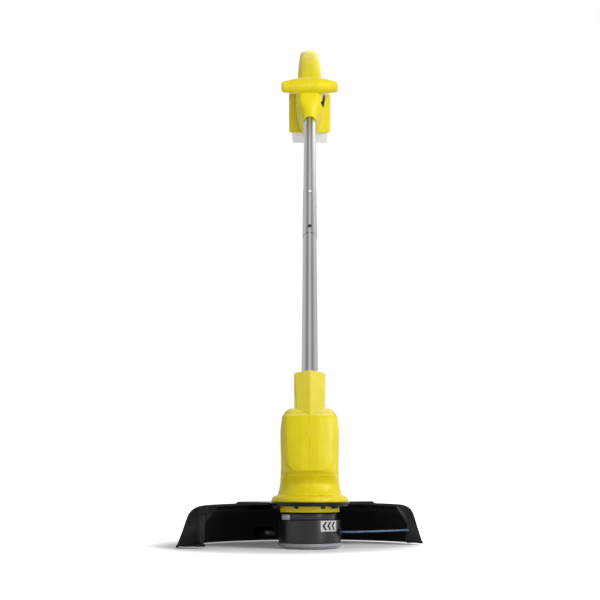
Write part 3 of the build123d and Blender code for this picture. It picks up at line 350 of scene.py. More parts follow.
# %% The finishes
finishes = {
    "lemon_shell": moulded("lemon_moulded", (222, 204, 12), (230, 212, 18), 0.38, 0.48, specular=0.32),
    "black_shell": moulded("black_moulded", (6, 6, 7), (11, 11, 12), 0.16, 0.26, specular=0.16),
    "grey_shell": moulded("grey_moulded", (140, 140, 144), (156, 156, 160), 0.3, 0.4),
    "pale_shell": moulded("pale_moulded", (240, 241, 238), (248, 249, 246), 0.34, 0.46),
    "satin_tube": tube_with_painted_reflection("aluminium_with_painted_reflection"),
    "silver_plastic": moulded("silver_moulded", (180, 181, 184), (194, 195, 197), 0.3, 0.42),
    "steel": metal("ground_steel", (182, 182, 185), (208, 208, 210), 0.22, 0.4, (14, 1, 1)),
    "dark_steel": metal("lacquered_steel", (34, 34, 36), (50, 50, 53), 0.35, 0.5),
    "ferrite": moulded("sintered_ferrite", (48, 48, 51), (64, 64, 67), 0.6, 0.8, 1400, 0.00008),
    "zinc_screw": metal("zinc_plate", (170, 170, 172), (198, 198, 200), 0.25, 0.42),
    "spring_steel": metal("drawn_wire", (150, 150, 153), (190, 190, 193), 0.25, 0.4),
    "nylon_dark": moulded("black_nylon", (32, 32, 34), (44, 44, 46), 0.45, 0.6),
    "nylon_white": moulded("white_nylon", (222, 222, 216), (234, 234, 230), 0.4, 0.55),
    "blue_line": moulded("blue_line_nylon", (42, 66, 104), (74, 104, 146), 0.22, 0.34, 1200),
    "brass_parts": metal("bright_brass", (205, 165, 88), (228, 190, 112), 0.18, 0.32),
    "cable_sheath": moulded("black_sheath", (26, 26, 28), (36, 36, 38), 0.5, 0.62),
    "circuit_board": moulded("green_solder_mask", (20, 84, 48), (30, 104, 60), 0.2, 0.35, 700),
    "cell_wrap": moulded("cell_film", (40, 120, 130), (52, 140, 150), 0.2, 0.32, 300),
}
drum_black = moulded("drum_black_moulded", (14, 14, 14), (20, 20, 20), 0.26, 0.36, specular=0.36)
for entry in frame["record"]["subparts"]:
    materials = nodes[entry["node"]].data.materials
    materials.clear()
    materials.append(finishes[entry["material_slot"]])
print("finishes:", len(finishes))

# %% [markdown]
# ## Helpers for modelling
# Most shells here are lofts: a row of closed outlines with a skin bridged between each pair. Where
# several volumes run into one moulding, they are united, remeshed into one even skin and smoothed,
# which gives the soft edges of a real mould. Sharp openings are cut with booleans.

# %% Helpers for modelling
MM = 0.001
SHAFT_FOOT = 0.122    # where the shaft's line meets the drum's axis
HANDLE_STATION = 0.845
MERGE = 0.000001      # points closer than this are one
FULL_TURN = 2 * math.pi
TUBE_BORE = 0.01106
SCREW_WELL = 0.0036
SCREW_NEAR = 0.0095   # a screw's well runs from this far beside the seam
SCREW_FAR = 0.06      # to beyond the outside
SOFT_ROUNDS = 6       # rounds of smoothing that soften a moulding's edges
shaft_frame = Matrix.Translation((0, 0, SHAFT_FOOT)) @ Matrix.Rotation(SHAFT_LEAN, 4, "X")
handle_frame = shaft_frame @ Matrix.Translation((0, HANDLE_STATION, 0))


def metres(outline):
    """An outline given in millimetres, in metres."""
    return [(a * MM, b * MM) for a, b in outline]


def only(piece):
    """Make one piece the whole selection."""
    bpy.ops.object.select_all(action="DESELECT")
    piece.select_set(True)
    bpy.context.view_layer.objects.active = piece


def outward(piece):
    """Merge doubles and turn every face outwards."""
    only(piece)
    bpy.ops.object.mode_set(mode="EDIT")
    bpy.ops.mesh.select_all(action="SELECT")
    bpy.ops.mesh.remove_doubles(threshold=MERGE)
    bpy.ops.mesh.normals_make_consistent(inside=False)
    bpy.ops.object.mode_set(mode="OBJECT")
    return piece


def new_piece(name, points, faces):
    """A new piece from points and faces, which is then the selection."""
    mesh = bpy.data.meshes.new(name)
    mesh.from_pydata(points, [], faces)
    piece = bpy.data.objects.new(name, mesh)
    scene.collection.objects.link(piece)
    return outward(piece)


def modify(piece, kind, **settings):
    """Add a modifier with these settings and apply it."""
    only(piece)
    modifier = piece.modifiers.new(kind.lower(), kind)
    for name, value in settings.items():
        setattr(modifier, name, value)
    bpy.ops.object.modifier_apply(modifier=modifier.name)
    return piece


def move_points(piece, spots):
    """Put the points of a piece at these spots."""
    for vertex, spot in zip(piece.data.vertices, spots):
        vertex.co = spot


def ring_piece(name, spots, fill_type="NOTHING"):
    """A new piece that is one closed ring of points."""
    bpy.ops.object.select_all(action="DESELECT")
    bpy.ops.mesh.primitive_circle_add(vertices=len(spots), fill_type=fill_type)
    piece = bpy.context.object
    piece.name = name
    move_points(piece, spots)
    return piece


def lofted(name, rings):
    """Bridge a row of closed outlines, all with as many points, and close both ends."""
    piece = ring_piece(name, rings[0])
    bpy.ops.object.mode_set(mode="EDIT")
    for ring in rings[1:]:
        bpy.ops.mesh.primitive_circle_add(vertices=len(ring))
    bpy.ops.object.mode_set(mode="OBJECT")
    move_points(piece, [spot for ring in rings for spot in ring])
    bpy.ops.object.mode_set(mode="EDIT")
    bpy.ops.mesh.select_all(action="SELECT")
    bpy.ops.mesh.bridge_edge_loops(type="SINGLE")
    bpy.ops.mesh.select_all(action="SELECT")
    bpy.ops.mesh.fill_holes(sides=0)
    bpy.ops.object.mode_set(mode="OBJECT")
    return outward(piece)


def slab(name, outline, half, bevel, segments=3):
    """A flat outline in Y and Z, made as thick as two halves along X, with rounded edges."""
    piece = ring_piece(name, [(-half, y, z) for y, z in outline], "NGON")
    bpy.ops.object.mode_set(mode="EDIT")
    bpy.ops.mesh.select_all(action="SELECT")
    bpy.ops.mesh.extrude_region_move(TRANSFORM_OT_translate={"value": (2 * half, 0, 0)})
    bpy.ops.mesh.select_all(action="SELECT")
    bpy.ops.mesh.normals_make_consistent(inside=False)
    if bevel:
        bpy.ops.mesh.bevel(offset=bevel, segments=segments, affect="EDGES")
    bpy.ops.object.mode_set(mode="OBJECT")
    return outward(piece)


def crate(name, low, high, bevel=0.0, segments=3):
    """A box between two corners with rounded edges."""
    (left, front, bottom), (right, back, top) = low, high
    outline = [(front, bottom), (back, bottom), (back, top), (front, top)]
    piece = slab(name, outline, (right - left) / 2, bevel, segments)
    piece.data.transform(Matrix.Translation(((left + right) / 2, 0, 0)))
    return piece


def drill(name, start, end, radius, sides=48):
    """A round rod between two points."""
    start = Vector(start)
    end = Vector(end)
    bpy.ops.object.select_all(action="DESELECT")
    bpy.ops.mesh.primitive_cylinder_add(vertices=sides, radius=radius, depth=(end - start).length)
    piece = bpy.context.object
    piece.name = name
    turn = (end - start).to_track_quat("Z", "Y").to_matrix().to_4x4()
    piece.data.transform(Matrix.Translation((start + end) / 2) @ turn)
    return piece


def screw_well(y, z, placed=None):
    """A well for a screw that goes in from the right, in the world or in another frame."""
    near = Vector((SCREW_NEAR, y * MM, z * MM))
    far = Vector((SCREW_FAR, y * MM, z * MM))
    if placed:
        near = placed @ near
        far = placed @ far
    return drill("screw_well", near, far, SCREW_WELL, 24)


def spun_profile(name, profile, steps=96, start=0.0, sweep=FULL_TURN):
    """Spin a closed outline of radius and height about the drum's axis."""
    x, y = math.cos(start), math.sin(start)
    piece = ring_piece(name, [(radius * x, radius * y, height) for radius, height in profile])
    bpy.ops.object.mode_set(mode="EDIT")
    bpy.ops.mesh.select_all(action="SELECT")
    bpy.ops.mesh.spin(steps=steps, angle=-sweep, center=(0, 0, 0), axis=(0, 0, 1))
    bpy.ops.mesh.select_all(action="SELECT")
    bpy.ops.mesh.remove_doubles(threshold=MERGE)
    if sweep < FULL_TURN:
        bpy.ops.mesh.fill_holes(sides=0)
    bpy.ops.object.mode_set(mode="OBJECT")
    return outward(piece)


def joined(name, pieces):
    """Put several pieces into one object."""
    only(pieces[0])
    for piece in pieces[1:]:
        piece.select_set(True)
    bpy.ops.object.join()
    pieces[0].name = name
    pieces[0].data.name = name
    return pieces[0]


def combine(piece, tool, operation):
    """Unite a piece with a tool, cut the tool out of it, or keep what they share."""
    modify(piece, "BOOLEAN", operation=operation, object=tool, solver="MANIFOLD")
    bpy.data.objects.remove(tool)


def united(name, pieces):
    """Unite several closed volumes into the first."""
    for tool in pieces[1:]:
        combine(pieces[0], tool, "UNION")
    pieces[0].name = name
    pieces[0].data.name = name
    return pieces[0]


def cut(piece, cutters):
    """Take each of a list of cutters out of a piece."""
    for tool in cutters:
        combine(piece, tool, "DIFFERENCE")
    return piece


def smooth_below(piece, degrees):
    """Shade a piece smooth, except at edges sharper than an angle."""
    only(piece)
    bpy.ops.object.shade_smooth_by_angle(angle=math.radians(degrees))


def one_skin(piece, voxel):
    """Remesh a moulding into one even skin and soften its edges."""
    modify(piece, "REMESH", mode="VOXEL", voxel_size=voxel)
    modify(piece, "SMOOTH", factor=0.5, iterations=SOFT_ROUNDS)
    only(piece)
    bpy.ops.object.shade_smooth()
    return piece


def finished(piece, slot, body, *replaced):
    """Give a piece its finish, its body and the CAD nodes that it stands for."""
    piece.data.materials.clear()
    piece.data.materials.append(finishes[slot])
    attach(piece, body)
    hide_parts(*replaced)
    print(piece.name, "faces:", len(piece.data.polygons))
    return piece


SEAM = 0.00006        # half the gap between two halves
KEEP_SIDE = 0.3       # a box this large holds either half of any moulding
KEEP_LOW = -0.5
KEEP_HIGH = 1.5


def halves(whole, left_name, right_name):
    """Cut a moulding into its two halves, with a hairline gap at the seam."""
    pieces = []
    for name, low, high in ((left_name, -KEEP_SIDE, -SEAM), (right_name, SEAM, KEEP_SIDE)):
        only(whole)
        bpy.ops.object.duplicate()
        side = bpy.context.object
        side.name = name
        side.data.name = name
        keep = crate("keep", (low, KEEP_LOW, KEEP_LOW), (high, KEEP_HIGH, KEEP_HIGH))
        combine(side, keep, "INTERSECT")
        smooth_below(side, 40)
        pieces.append(side)
    bpy.data.objects.remove(whole)
    return pieces


def rounded_outline(half, low, high, power, count=64):
    """Points of a rounded outline across X, from low to high, squarer for a larger power."""
    points = []
    for step in range(count):
        angle = 2 * math.pi * (step + 0.5) / count
        across = math.copysign(abs(math.cos(angle)) ** (2 / power), math.cos(angle))
        along = math.copysign(abs(math.sin(angle)) ** (2 / power), math.sin(angle))
        points.append((half * across, (low + high) / 2 + (high - low) / 2 * along))
    return points


def eased(rows, count):
    """More rows between the given ones, on a smooth curve through them."""
    dense = []
    for number in range(len(rows) - 1):
        before = rows[max(number - 1, 0)]
        here = rows[number]
        after = rows[number + 1]
        beyond = rows[min(number + 2, len(rows) - 1)]
        for step in range(count):
            t = step / count
            row = []
            for a, b, c, d in zip(before, here, after, beyond):
                row.append(0.5 * (2 * b + (c - a) * t + (2 * a - 5 * b + 4 * c - d) * t * t
                                  + (3 * b - a - 3 * c + d) * t ** 3))
            dense.append(row)
    dense.append(list(rows[-1]))
    return dense


print("helpers ready")

# %% [markdown]
# ## Cutting line
# The line is one length of twisted nylon that runs out of the drum's eyelet and trails back to its
# tip. A smooth spline along the CAD route gives its path, and a rounded square that turns as it
# goes along gives the twist.

# %% Cutting line
LINE_ROUTE = [
    (0.03308, -0.01204, 0.0195), (0.04417, -0.01607, 0.0195), (0.05979, -0.01355, 0.0196),
    (0.0879, 0.00285, 0.0198), (0.12227, 0.02599, 0.02),
]
LINE_RADIUS = 0.0012
LINE_TWIST = 1150.0   # radians per metre
LINE_STEP = 0.0004
LOBE_SHARE = 0.1      # half the dip of the flats, as a share of the radius


def spline_points(name, route, resolution=24):
    """Points along a smooth spline that has the route as its control points."""
    curve = bpy.data.curves.new(name, "CURVE")
    curve.dimensions = "3D"
    curve.resolution_u = resolution
    spline = curve.splines.new("NURBS")
    spline.points.add(len(route) - 1)
    for point, spot in zip(spline.points, route):
        point.co = (*spot, 1)
    spline.order_u = 3
    spline.use_endpoint_u = True
    carrier = bpy.data.objects.new(name, curve)
    scene.collection.objects.link(carrier)
    mesh = bpy.data.meshes.new_from_object(carrier)
    points = [vertex.co.copy() for vertex in mesh.vertices]
    bpy.data.objects.remove(carrier)
    return points


def resampled(points, step):
    """The same line with points at even steps."""
    spaced = [points[0].copy()]
    carry = 0.0
    for before, after in zip(points, points[1:]):
        run = (after - before).length
        while carry + run >= step and run > 0:
            share = (step - carry) / run
            before = before.lerp(after, share)
            spaced.append(before.copy())
            run = (after - before).length
            carry = 0.0
        carry += run
    spaced.append(points[-1].copy())
    return spaced


def twisted_tube(points, radius, twist, lobes=4, around=16):
    """Rings of a lobed section that turns as it follows the points."""
    rings = []
    travelled = 0.0
    for number, spot in enumerate(points):
        ahead = points[min(number + 1, len(points) - 1)]
        behind = points[max(number - 1, 0)]
        along = (ahead - behind).normalized()
        side = along.cross(Vector((0, 0, 1))).normalized()
        up = side.cross(along)
        travelled += (spot - behind).length if number else 0.0
        for step in range(around):
            angle = 2 * math.pi * step / around
            reach = radius * (1 - LOBE_SHARE + LOBE_SHARE * math.cos(lobes * angle))
            turned = angle + twist * travelled
            rings.append(spot + side * reach * math.cos(turned) + up * reach * math.sin(turned))
    faces = []
    for number in range(len(points) - 1):
        for step in range(around):
            nearer = number * around
            following = (step + 1) % around
            faces.append((nearer + step, nearer + following,
                          nearer + around + following, nearer + around + step))
    faces.append(tuple(range(around))[::-1])
    last = (len(points) - 1) * around
    faces.append(tuple(range(last, last + around)))
    return rings, faces


line_path = resampled(spline_points("line_route", LINE_ROUTE), LINE_STEP)
rings, faces = twisted_tube(line_path, LINE_RADIUS, LINE_TWIST)
cutting_line = new_piece("twisted_line", rings, faces)
bpy.ops.object.shade_smooth()
finished(cutting_line, "blue_line", "drum", "cutting_line")

# %% [markdown]
# ## Motor housing
# The motor head is two mouldings that meet in a seam down the middle. Each side of the seam is a
# facet of its own, so the left side falls into shade. The body narrows to a waist above the round
# flange, a shield stands proud of its front, and a faceted collar holds the tube. The body and the
# collar are lofted, the flange and the spigot are spun, and all of them are united, cut out and
# split at the seam.

# %% Motor housing
BODY_ROWS = [
    # height, half width, front, back in millimetres, squareness
    (60.5, 39.6, 39.6, 39.6, 2.0), (65, 38.6, 37.4, 40.0, 2.2), (70, 37.3, 33.4, 41.0, 2.6),
    (75, 36.5, 30.2, 42.0, 3.2), (80, 36.0, 32.2, 43.5, 3.8), (84.5, 35.7, 35.6, 44.2, 4.4),
    (88, 35.5, 38.8, 44.8, 4.8), (91, 35.4, 40.3, 45.2, 5.0), (98, 35.2, 40.2, 46.5, 5.2),
    (115, 35.8, 36.4, 49.5, 5.4), (135, 36.4, 30.6, 52.0, 5.4), (148, 35.7, 26.2, 53.5, 5.4),
    (154, 35.0, 23.6, 54.0, 5.4), (157.5, 34.3, 21.8, 54.0, 5.4), (158.5, 33.9, 20.4, 54.0, 5.4),
    (162.5, 32.0, 13.4, 53.0, 5.0), (166.5, 29.0, 5.6, 50.0, 4.4), (168.5, 26.0, 0.5, 47.0, 4.0),
]
BODY_RIDGE = 0.15     # slope of the two front facets
SHIELD_HALF = 29.5    # beyond this half width the front falls away to the sides
EDGE_FALL = 1.6       # slope of that fall
FACET_FROM = 66       # height above which the front has two facets
FALL_FROM = 82        # the fall to the sides begins at this height
FALL_OVER = 8         # and is full this much higher
COLLAR_ROWS = [
    # station, half width in front, half width behind, height of the front ridge
    (10, 15.6, 18.4, 34.0), (15.5, 16.4, 18.6, 38.6), (60, 18.5, 20.0, 28.2),
    (112, 20.6, 21.2, 15.9), (119, 20.8, 21.3, 14.2), (121, 20.0, 20.5, 13.4),
]
COLLAR_FACET = 0.27   # slope of the collar's two front facets
COLLAR_BACK = -25.0
COLLAR_CORNER = 6     # the corners behind are cut off by this much
FLANGE_OUTLINE = [
    # radius, height
    (20, 54), (46.4, 54), (47, 54.8), (46.9, 57), (46.0, 59.4), (44.2, 61.2), (41.5, 62.2),
    (38, 63.2), (20, 63.2),
]
SPIGOT_OUTLINE = [(33, 42.4), (36, 42.4), (36.3, 42.8), (36.3, 56), (33, 56)]
MOTOR_WELLS = [
    # name, bottom, top, radius, sides
    ("motor_well", 0.0655, 0.1335, 0.0232, 72),
    ("motor_nose", 0.13, 0.136, 0.0095, 48),
    ("plate_well", 0.0624, 0.066, 0.0356, 72),
    ("spigot_well", 0.04, 0.063, 0.033, 72),
]
BORE_START = 0.0395
BORE_END = 0.2
VENTS = 5
VENT_LOW = 104
VENT_PITCH = 7
VENT_HEIGHT = 2.6
VENT_FRONT = 0.021
VENT_BACK = 0.032
VENT_SIDES = ((-60, -31), (31, 60))
HOUSING_VOXEL = 0.00075
HOUSING_SCREWS = [(35.0, 84.0), (38.0, 122.0)]
COLLAR_SCREWS = [(72.0, -17.4), (108.0, -17.4)]

body_rings = []
for height, half_width, front, back, power in eased(BODY_ROWS, 3):
    ring = []
    for x, y in rounded_outline(half_width, -front, back, power, 96):
        forward = min(max(-y / front, 0), 1)
        facet = BODY_RIDGE * abs(x) * forward if height > FACET_FROM else 0
        growing = min(max((height - FALL_FROM) / FALL_OVER, 0), 1)
        side_fall = EDGE_FALL * max(abs(x) - SHIELD_HALF, 0) * forward * growing
        ring.append(Vector((x, y + facet + side_fall, height)) * MM)
    body_rings.append(ring)
body = lofted("housing_body", body_rings)

collar_rings = []
for station, front_half, back_half, ridge in COLLAR_ROWS:
    edge = ridge - COLLAR_FACET * front_half
    outline = [
        (0, ridge),
        (front_half - 1.6, edge + 0.4),
        (front_half - 0.3, edge - 0.5),
        (front_half, edge - 2),
        (back_half, COLLAR_BACK + COLLAR_CORNER),
        (back_half - COLLAR_CORNER, COLLAR_BACK),
    ]
    outline += [(-x, n) for x, n in outline[:0:-1]]
    collar_rings.append([shaft_frame @ (Vector((x, station, n)) * MM) for x, n in outline])
collar = lofted("housing_collar", collar_rings)

flange = spun_profile("housing_flange", metres(FLANGE_OUTLINE))
spigot = spun_profile("housing_spigot", metres(SPIGOT_OUTLINE))
housing = united("motor_housing", [body, collar, flange, spigot])

cutters = []
for name, bottom, top, radius, sides in MOTOR_WELLS:
    cutters.append(drill(name, (0, 0, bottom), (0, 0, top), radius, sides))
bore_start = shaft_frame @ Vector((0, BORE_START, 0))
bore_end = shaft_frame @ Vector((0, BORE_END, 0))
cutters.append(drill("tube_bore", bore_start, bore_end, TUBE_BORE, 64))
cutters += [screw_well(y, z) for y, z in HOUSING_SCREWS]
cutters += [screw_well(station, n, shaft_frame) for station, n in COLLAR_SCREWS]
for number in range(VENTS):
    low = VENT_LOW + VENT_PITCH * number
    high = low + VENT_HEIGHT
    for left, right in VENT_SIDES:
        near_corner = (left * MM, VENT_FRONT, low * MM)
        far_corner = (right * MM, VENT_BACK, high * MM)
        cutters.append(crate("vent", near_corner, far_corner))
cut(housing, cutters)
one_skin(housing, HOUSING_VOXEL)

SHIELD_PROUD = 0.0014  # from the surface beside the shield to its face
SHIELD_EDGE = 0.0014   # the width over which it rises
SHIELD_SIDE = 0.0295
SHIELD_STRAIGHT = 0.135  # below this height the sides draw in
SHIELD_TAPER = 0.055
SHIELD_CORNER = 0.013
SHIELD_FOOT = 0.0905
SHIELD_TOP = 0.158
FRONT_LOW = 0.086      # the part of the front that is raised or lowered
FRONT_HIGH = 0.163
FRONT_BACK = 0.004
FRONT_FACING = -0.3


def shield_depth(x, z):
    """How far inside the shield's outline a point of the front is, in metres."""
    half_width = SHIELD_SIDE - SHIELD_TAPER * max(SHIELD_STRAIGHT - z, 0)
    across = half_width - abs(x)
    down = z - SHIELD_FOOT
    if across < SHIELD_CORNER and down < SHIELD_CORNER:
        return SHIELD_CORNER - math.hypot(SHIELD_CORNER - across, SHIELD_CORNER - down)
    return min(across, down, SHIELD_TOP - z)


facing = [vertex.normal.copy() for vertex in housing.data.vertices]
for vertex, normal in zip(housing.data.vertices, facing):
    spot = vertex.co
    in_front = spot.y < FRONT_BACK and normal.y < FRONT_FACING
    if in_front and FRONT_LOW < spot.z < FRONT_HIGH:
        share = min(max(shield_depth(spot.x, spot.z) / SHIELD_EDGE + 0.5, 0), 1)
        rise = share * share * (3 - 2 * share)
        vertex.co = spot + normal * (SHIELD_PROUD * (rise - 0.5))
housing.data.update()
left, right = halves(housing, "motor_shell_left", "motor_shell_right")
finished(left, "lemon_shell", "frame", "motor_housing_left")
finished(right, "lemon_shell", "frame", "motor_housing_right")

# %% [markdown]
# ## Handle
# The handle is also two mouldings with a seam. A keel opens like a cone from the tube, carries the
# bar across its top and runs back into the battery bay. The rear grip arches from the bar over
# the bay, with the trigger on its underside. It is made in its own frame on the shaft, by the same
# steps as the motor housing.

# %% Handle
KEEL_ROWS = [
    # station, half width, low, high in millimetres, squareness
    (-20.5, 13.2, -13.2, 13.4, 2.0), (-18.5, 14.2, -14.4, 14.8, 2.1), (-8, 17.0, -20, 21.5, 2.3),
    (2, 20.8, -29, 28.5, 2.7), (11, 25.4, -38, 33.5, 3.4), (20, 26.6, -47, 37.5, 3.7),
    (34, 26.8, -60, 44, 3.8), (48, 26.8, -71, 54, 3.8), (60, 26.8, -76.5, 62, 3.8),
    (78, 26.8, -76.5, 62, 3.8), (94, 25, -52, 50, 3.4),
]
KEEL_FOOT = 0.5       # the keel is this share narrower at its foot
KEEL_DEPTH = 76.5
ARCH_ROWS = [
    # station, height, half width, half thickness
    (46, 44, 21.5, 15.0), (58, 48, 23.0, 16.4), (80, 51.4, 23.4, 17.2), (110, 54.2, 22.2, 16.8),
    (140, 53, 21.0, 16.3), (165, 47, 20.4, 16.5), (190, 33, 20.2, 17.5), (207, 14, 20.6, 18.5),
    (213, -8, 21.0, 17.5), (212, -32, 21.5, 12.5),
]
ARCH_POWER = 2.4
BAY_OUTLINE = [
    (71, -76.5), (104, -4.5), (213, -22.5), (225, -30.5), (227.5, -43), (205, -60), (150, -76.5),
]
BAY_HALF = 0.0427
BAY_EDGE = 0.0045
BAR_ROWS = [
    # distance to the side, radius
    (-55, 6.4), (-54.4, 8.2), (-53, 9.6), (-50.5, 10.6), (-46, 11.4), (-34, 13.1), (-20, 14.6),
    (-8, 15.3), (0, 15.4),
]
BAR_REACH = 55
BAR_STATION = 36
BAR_HEIGHT = 49
BAR_POWER = 2.25
BAR_DROOP = 3.0       # how far the ends of the bar lie below its middle, along the shaft
BAR_DIP = 0.6         # how much of that they also lie closer to the shaft
SLOT_FRONT = 0.0915
SLOT_FOOT = 0.0465
SLOT_TOP = -0.044
SLOT_LOW = -0.14
SLOT_BACK = 0.3
SLOT_HALF = 0.0404
HANDLE_BOXES = [
    # name, low corner, high corner
    ("trigger_slot", (-0.0076, 0.098, 0.02), (0.0076, 0.16, 0.045)),
    ("plunger_well", (-0.0085, 0.098, 0.0425), (0.0085, 0.162, 0.0575)),
    ("switch_well", (-0.0067, 0.1158, 0.057), (0.0067, 0.1402, 0.0672)),
    ("lock_slot", (0.019, 0.0137, 0.0127), (0.06, 0.0543, 0.0233)),
    ("lock_well", (0.0125, 0.0117, 0.0109), (0.0239, 0.0575, 0.0251)),
]
RAIL_SIDES = ((-41.5, -37.6), (37.6, 41.5))
RAIL_FRONT = 0.095
RAIL_BACK = 0.196
RAIL_LOW = -0.062
RAIL_HIGH = -0.058
HANDLE_VOXEL = 0.001
HANDLE_SCREWS = [(64, 38), (44, -42), (172, 43), (206, 12), (132, -16), (214, -33)]

keel_rings = []
for station, half_width, low, high, power in eased(KEEL_ROWS, 3):
    ring = []
    for x, n in rounded_outline(half_width, low, high, power, 72):
        taper = 1 - KEEL_FOOT * min(max(-n / KEEL_DEPTH, 0), 1)
        ring.append(Vector((x * taper, station, n)) * MM)
    keel_rings.append(ring)
keel = lofted("handle_keel", keel_rings)

arch_line = eased(ARCH_ROWS, 4)
arch_rings = []
for number, (station, height, half_width, thick) in enumerate(arch_line):
    before = arch_line[max(number - 1, 0)]
    after = arch_line[min(number + 1, len(arch_line) - 1)]
    turn = math.atan2(after[1] - before[1], after[0] - before[0])
    ring = []
    for x, reach in rounded_outline(half_width, -thick, thick, ARCH_POWER, 56):
        along = station - reach * math.sin(turn)
        above = height + reach * math.cos(turn)
        ring.append(Vector((x, along, above)) * MM)
    arch_rings.append(ring)
arch = lofted("handle_arch", arch_rings)

bar_rings = []
for x, radius in BAR_ROWS + [(-x, radius) for x, radius in BAR_ROWS[-2::-1]]:
    outline = rounded_outline(radius, -radius, radius, BAR_POWER, 48)
    drop = BAR_DROOP * (x / BAR_REACH) ** 2
    station = BAR_STATION - drop
    height = BAR_HEIGHT - BAR_DIP * drop
    bar_rings.append([Vector((x, station + u, height + v)) * MM for u, v in outline])
bar = lofted("handle_bar", bar_rings)
bay = slab("handle_bay", metres(BAY_OUTLINE), BAY_HALF, BAY_EDGE, 4)
handle = united("handle", [keel, arch, bar, bay])

slot_outline = [
    (SLOT_FRONT, SLOT_TOP), (SLOT_BACK, SLOT_TOP), (SLOT_BACK, SLOT_LOW), (SLOT_FOOT, SLOT_LOW),
]
cutters = [
    drill("tube_bore", (0, -0.03, 0), (0, 0.0722, 0), TUBE_BORE, 64),
    slab("battery_slot", slot_outline, SLOT_HALF, 0.0),
]
cutters += [crate(name, low, high) for name, low, high in HANDLE_BOXES]
cutters.append(drill("lock_spring_well", (0.0048, 0.03, 0.018), (0.02, 0.03, 0.018), 0.0042, 24))
cutters += [screw_well(h, n) for h, n in HANDLE_SCREWS]
cut(handle, cutters)
rails = []
for left, right in RAIL_SIDES:
    rails.append(crate("rail", (left * MM, RAIL_FRONT, RAIL_LOW), (right * MM, RAIL_BACK, RAIL_HIGH)))
handle = united("handle", [handle] + rails)
one_skin(handle, HANDLE_VOXEL)
handle.data.transform(handle_frame)
left, right = halves(handle, "handle_shell_left", "handle_shell_right")
finished(left, "lemon_shell", "frame", "handle_left")
finished(right, "lemon_shell", "frame", "handle_right")

# %% [markdown]
# ## Guard
# The guard is a part-round skirt, open towards the front, with a raised and slightly dished disc
# around the motor head and a small bead along its rim. Its outline is turned about the drum's axis.
# A wall closes each end, and the wall on the left carries the bracket of the line cutter.

# %% Guard
GUARD_START = math.radians(25)
GUARD_SWEEP = math.radians(162)
GUARD_END = GUARD_START + GUARD_SWEEP
GUARD_TOP = [
    # radius, height of the outer face
    (47.5, 54.0), (70, 54.5), (86.5, 54.8), (88.2, 54.3), (89.6, 53.0), (92, 52.4), (104, 52.0),
    (118, 51.3), (128, 50.6), (134, 49.6), (139, 47.6), (143, 44.6), (146.3, 40.4), (149, 33.5),
    (152.2, 23.5), (156, 12.5), (158.6, 5.2), (160.0, 4.2), (160.4, 2.6), (159.8, 1.6),
]
GUARD_UNDER = [
    # radius, height of the inner face
    (157.2, 1.6), (156.0, 5.0), (153.2, 12.5), (149.4, 23.5), (146.2, 33.0), (143.8, 38.8),
    (141.0, 42.4), (137.6, 44.9), (133.2, 46.6), (127.6, 47.7), (117.8, 48.4), (104, 49.2),
    (70, 51.2), (47.5, 51.2),
]
END_WALL = [
    # radius, height
    (113, 48.4), (133, 47.8), (139.5, 45.4), (144.5, 40.6), (157.6, 3.2), (152, 2.6), (129, 2.6),
    (129, 27.0),
]
WALL_INNER = 130      # points of the right wall within this radius
WALL_SHIFT = 8        # lie this much further out
HUB_OUTLINE = [
    (36.6, 49.9), (36.9, 49.6), (48.4, 49.6), (49, 50.2), (49, 53.4), (48.4, 54), (36.6, 54),
]
BRACKET_BARS = [
    # low, high, inner radius, outer radius, how far it stands out
    (40.6, 48.0, 123, 134.5, 4.6), (2.6, 5.6, 125.5, 137, 4.2), (5, 41, 133.3, 136, 3.4),
]
GUSSET = [(112, 48.2), (126, 48.2), (126, 30)]
SNAP_TABS = (245, 295)
CATCH_OUTLINE = [(145.5, 4), (154.5, 4), (151.5, 15), (145.5, 15)]
CATCH_HALF = 11.5
CATCH_AZIMUTH = 113
SCREW_AZIMUTHS = (75, 195, 315)
SCREW_RING = 0.04225
SCREW_HOLE = 0.0021


def at_azimuth(piece, azimuth):
    """Turn a piece made at azimuth zero about the drum's axis."""
    piece.data.transform(Matrix.Rotation(azimuth, 4, "Z"))
    return piece


def radial_wall(name, outline, near, far):
    """A flat wall with an outline of radius and height, between two distances beside the radius."""
    piece = slab(name, metres(outline), (far - near) / 2 * MM, 0.0004, 2)
    at_azimuth(piece, math.radians(-90))
    piece.data.transform(Matrix.Translation((0, (near + far) / 2 * MM, 0)))
    return piece


skirt = spun_profile("guard_skirt", metres(GUARD_TOP + GUARD_UNDER), 150, GUARD_START, GUARD_SWEEP)
hub = spun_profile("guard_hub", metres(HUB_OUTLINE), 120)
shells = [skirt, hub]
shells.append(at_azimuth(radial_wall("left_wall", END_WALL, -4, 0), GUARD_END))
inner_wall = [(r + WALL_SHIFT if r < WALL_INNER else r, z) for r, z in END_WALL]
shells.append(at_azimuth(radial_wall("right_wall", inner_wall, 0, 3), GUARD_START))
for low, high, inner, outer, proud in BRACKET_BARS:
    outline = [(inner, low), (outer, low), (outer, high), (inner, high)]
    shells.append(at_azimuth(radial_wall("cutter_bracket", outline, -2, proud), GUARD_END))
shells.append(at_azimuth(radial_wall("gusset", GUSSET, -1, 2.4), GUARD_END))
for azimuth in SNAP_TABS:
    tab = crate("snap_tab", (0.0366, -0.0023, 0.0468), (0.0386, 0.0023, 0.0506), 0.0004, 2)
    shells.append(at_azimuth(tab, math.radians(azimuth)))
catch = radial_wall("wall_catch", CATCH_OUTLINE, -CATCH_HALF, CATCH_HALF)
shells.append(at_azimuth(catch, math.radians(CATCH_AZIMUTH)))
holes = []
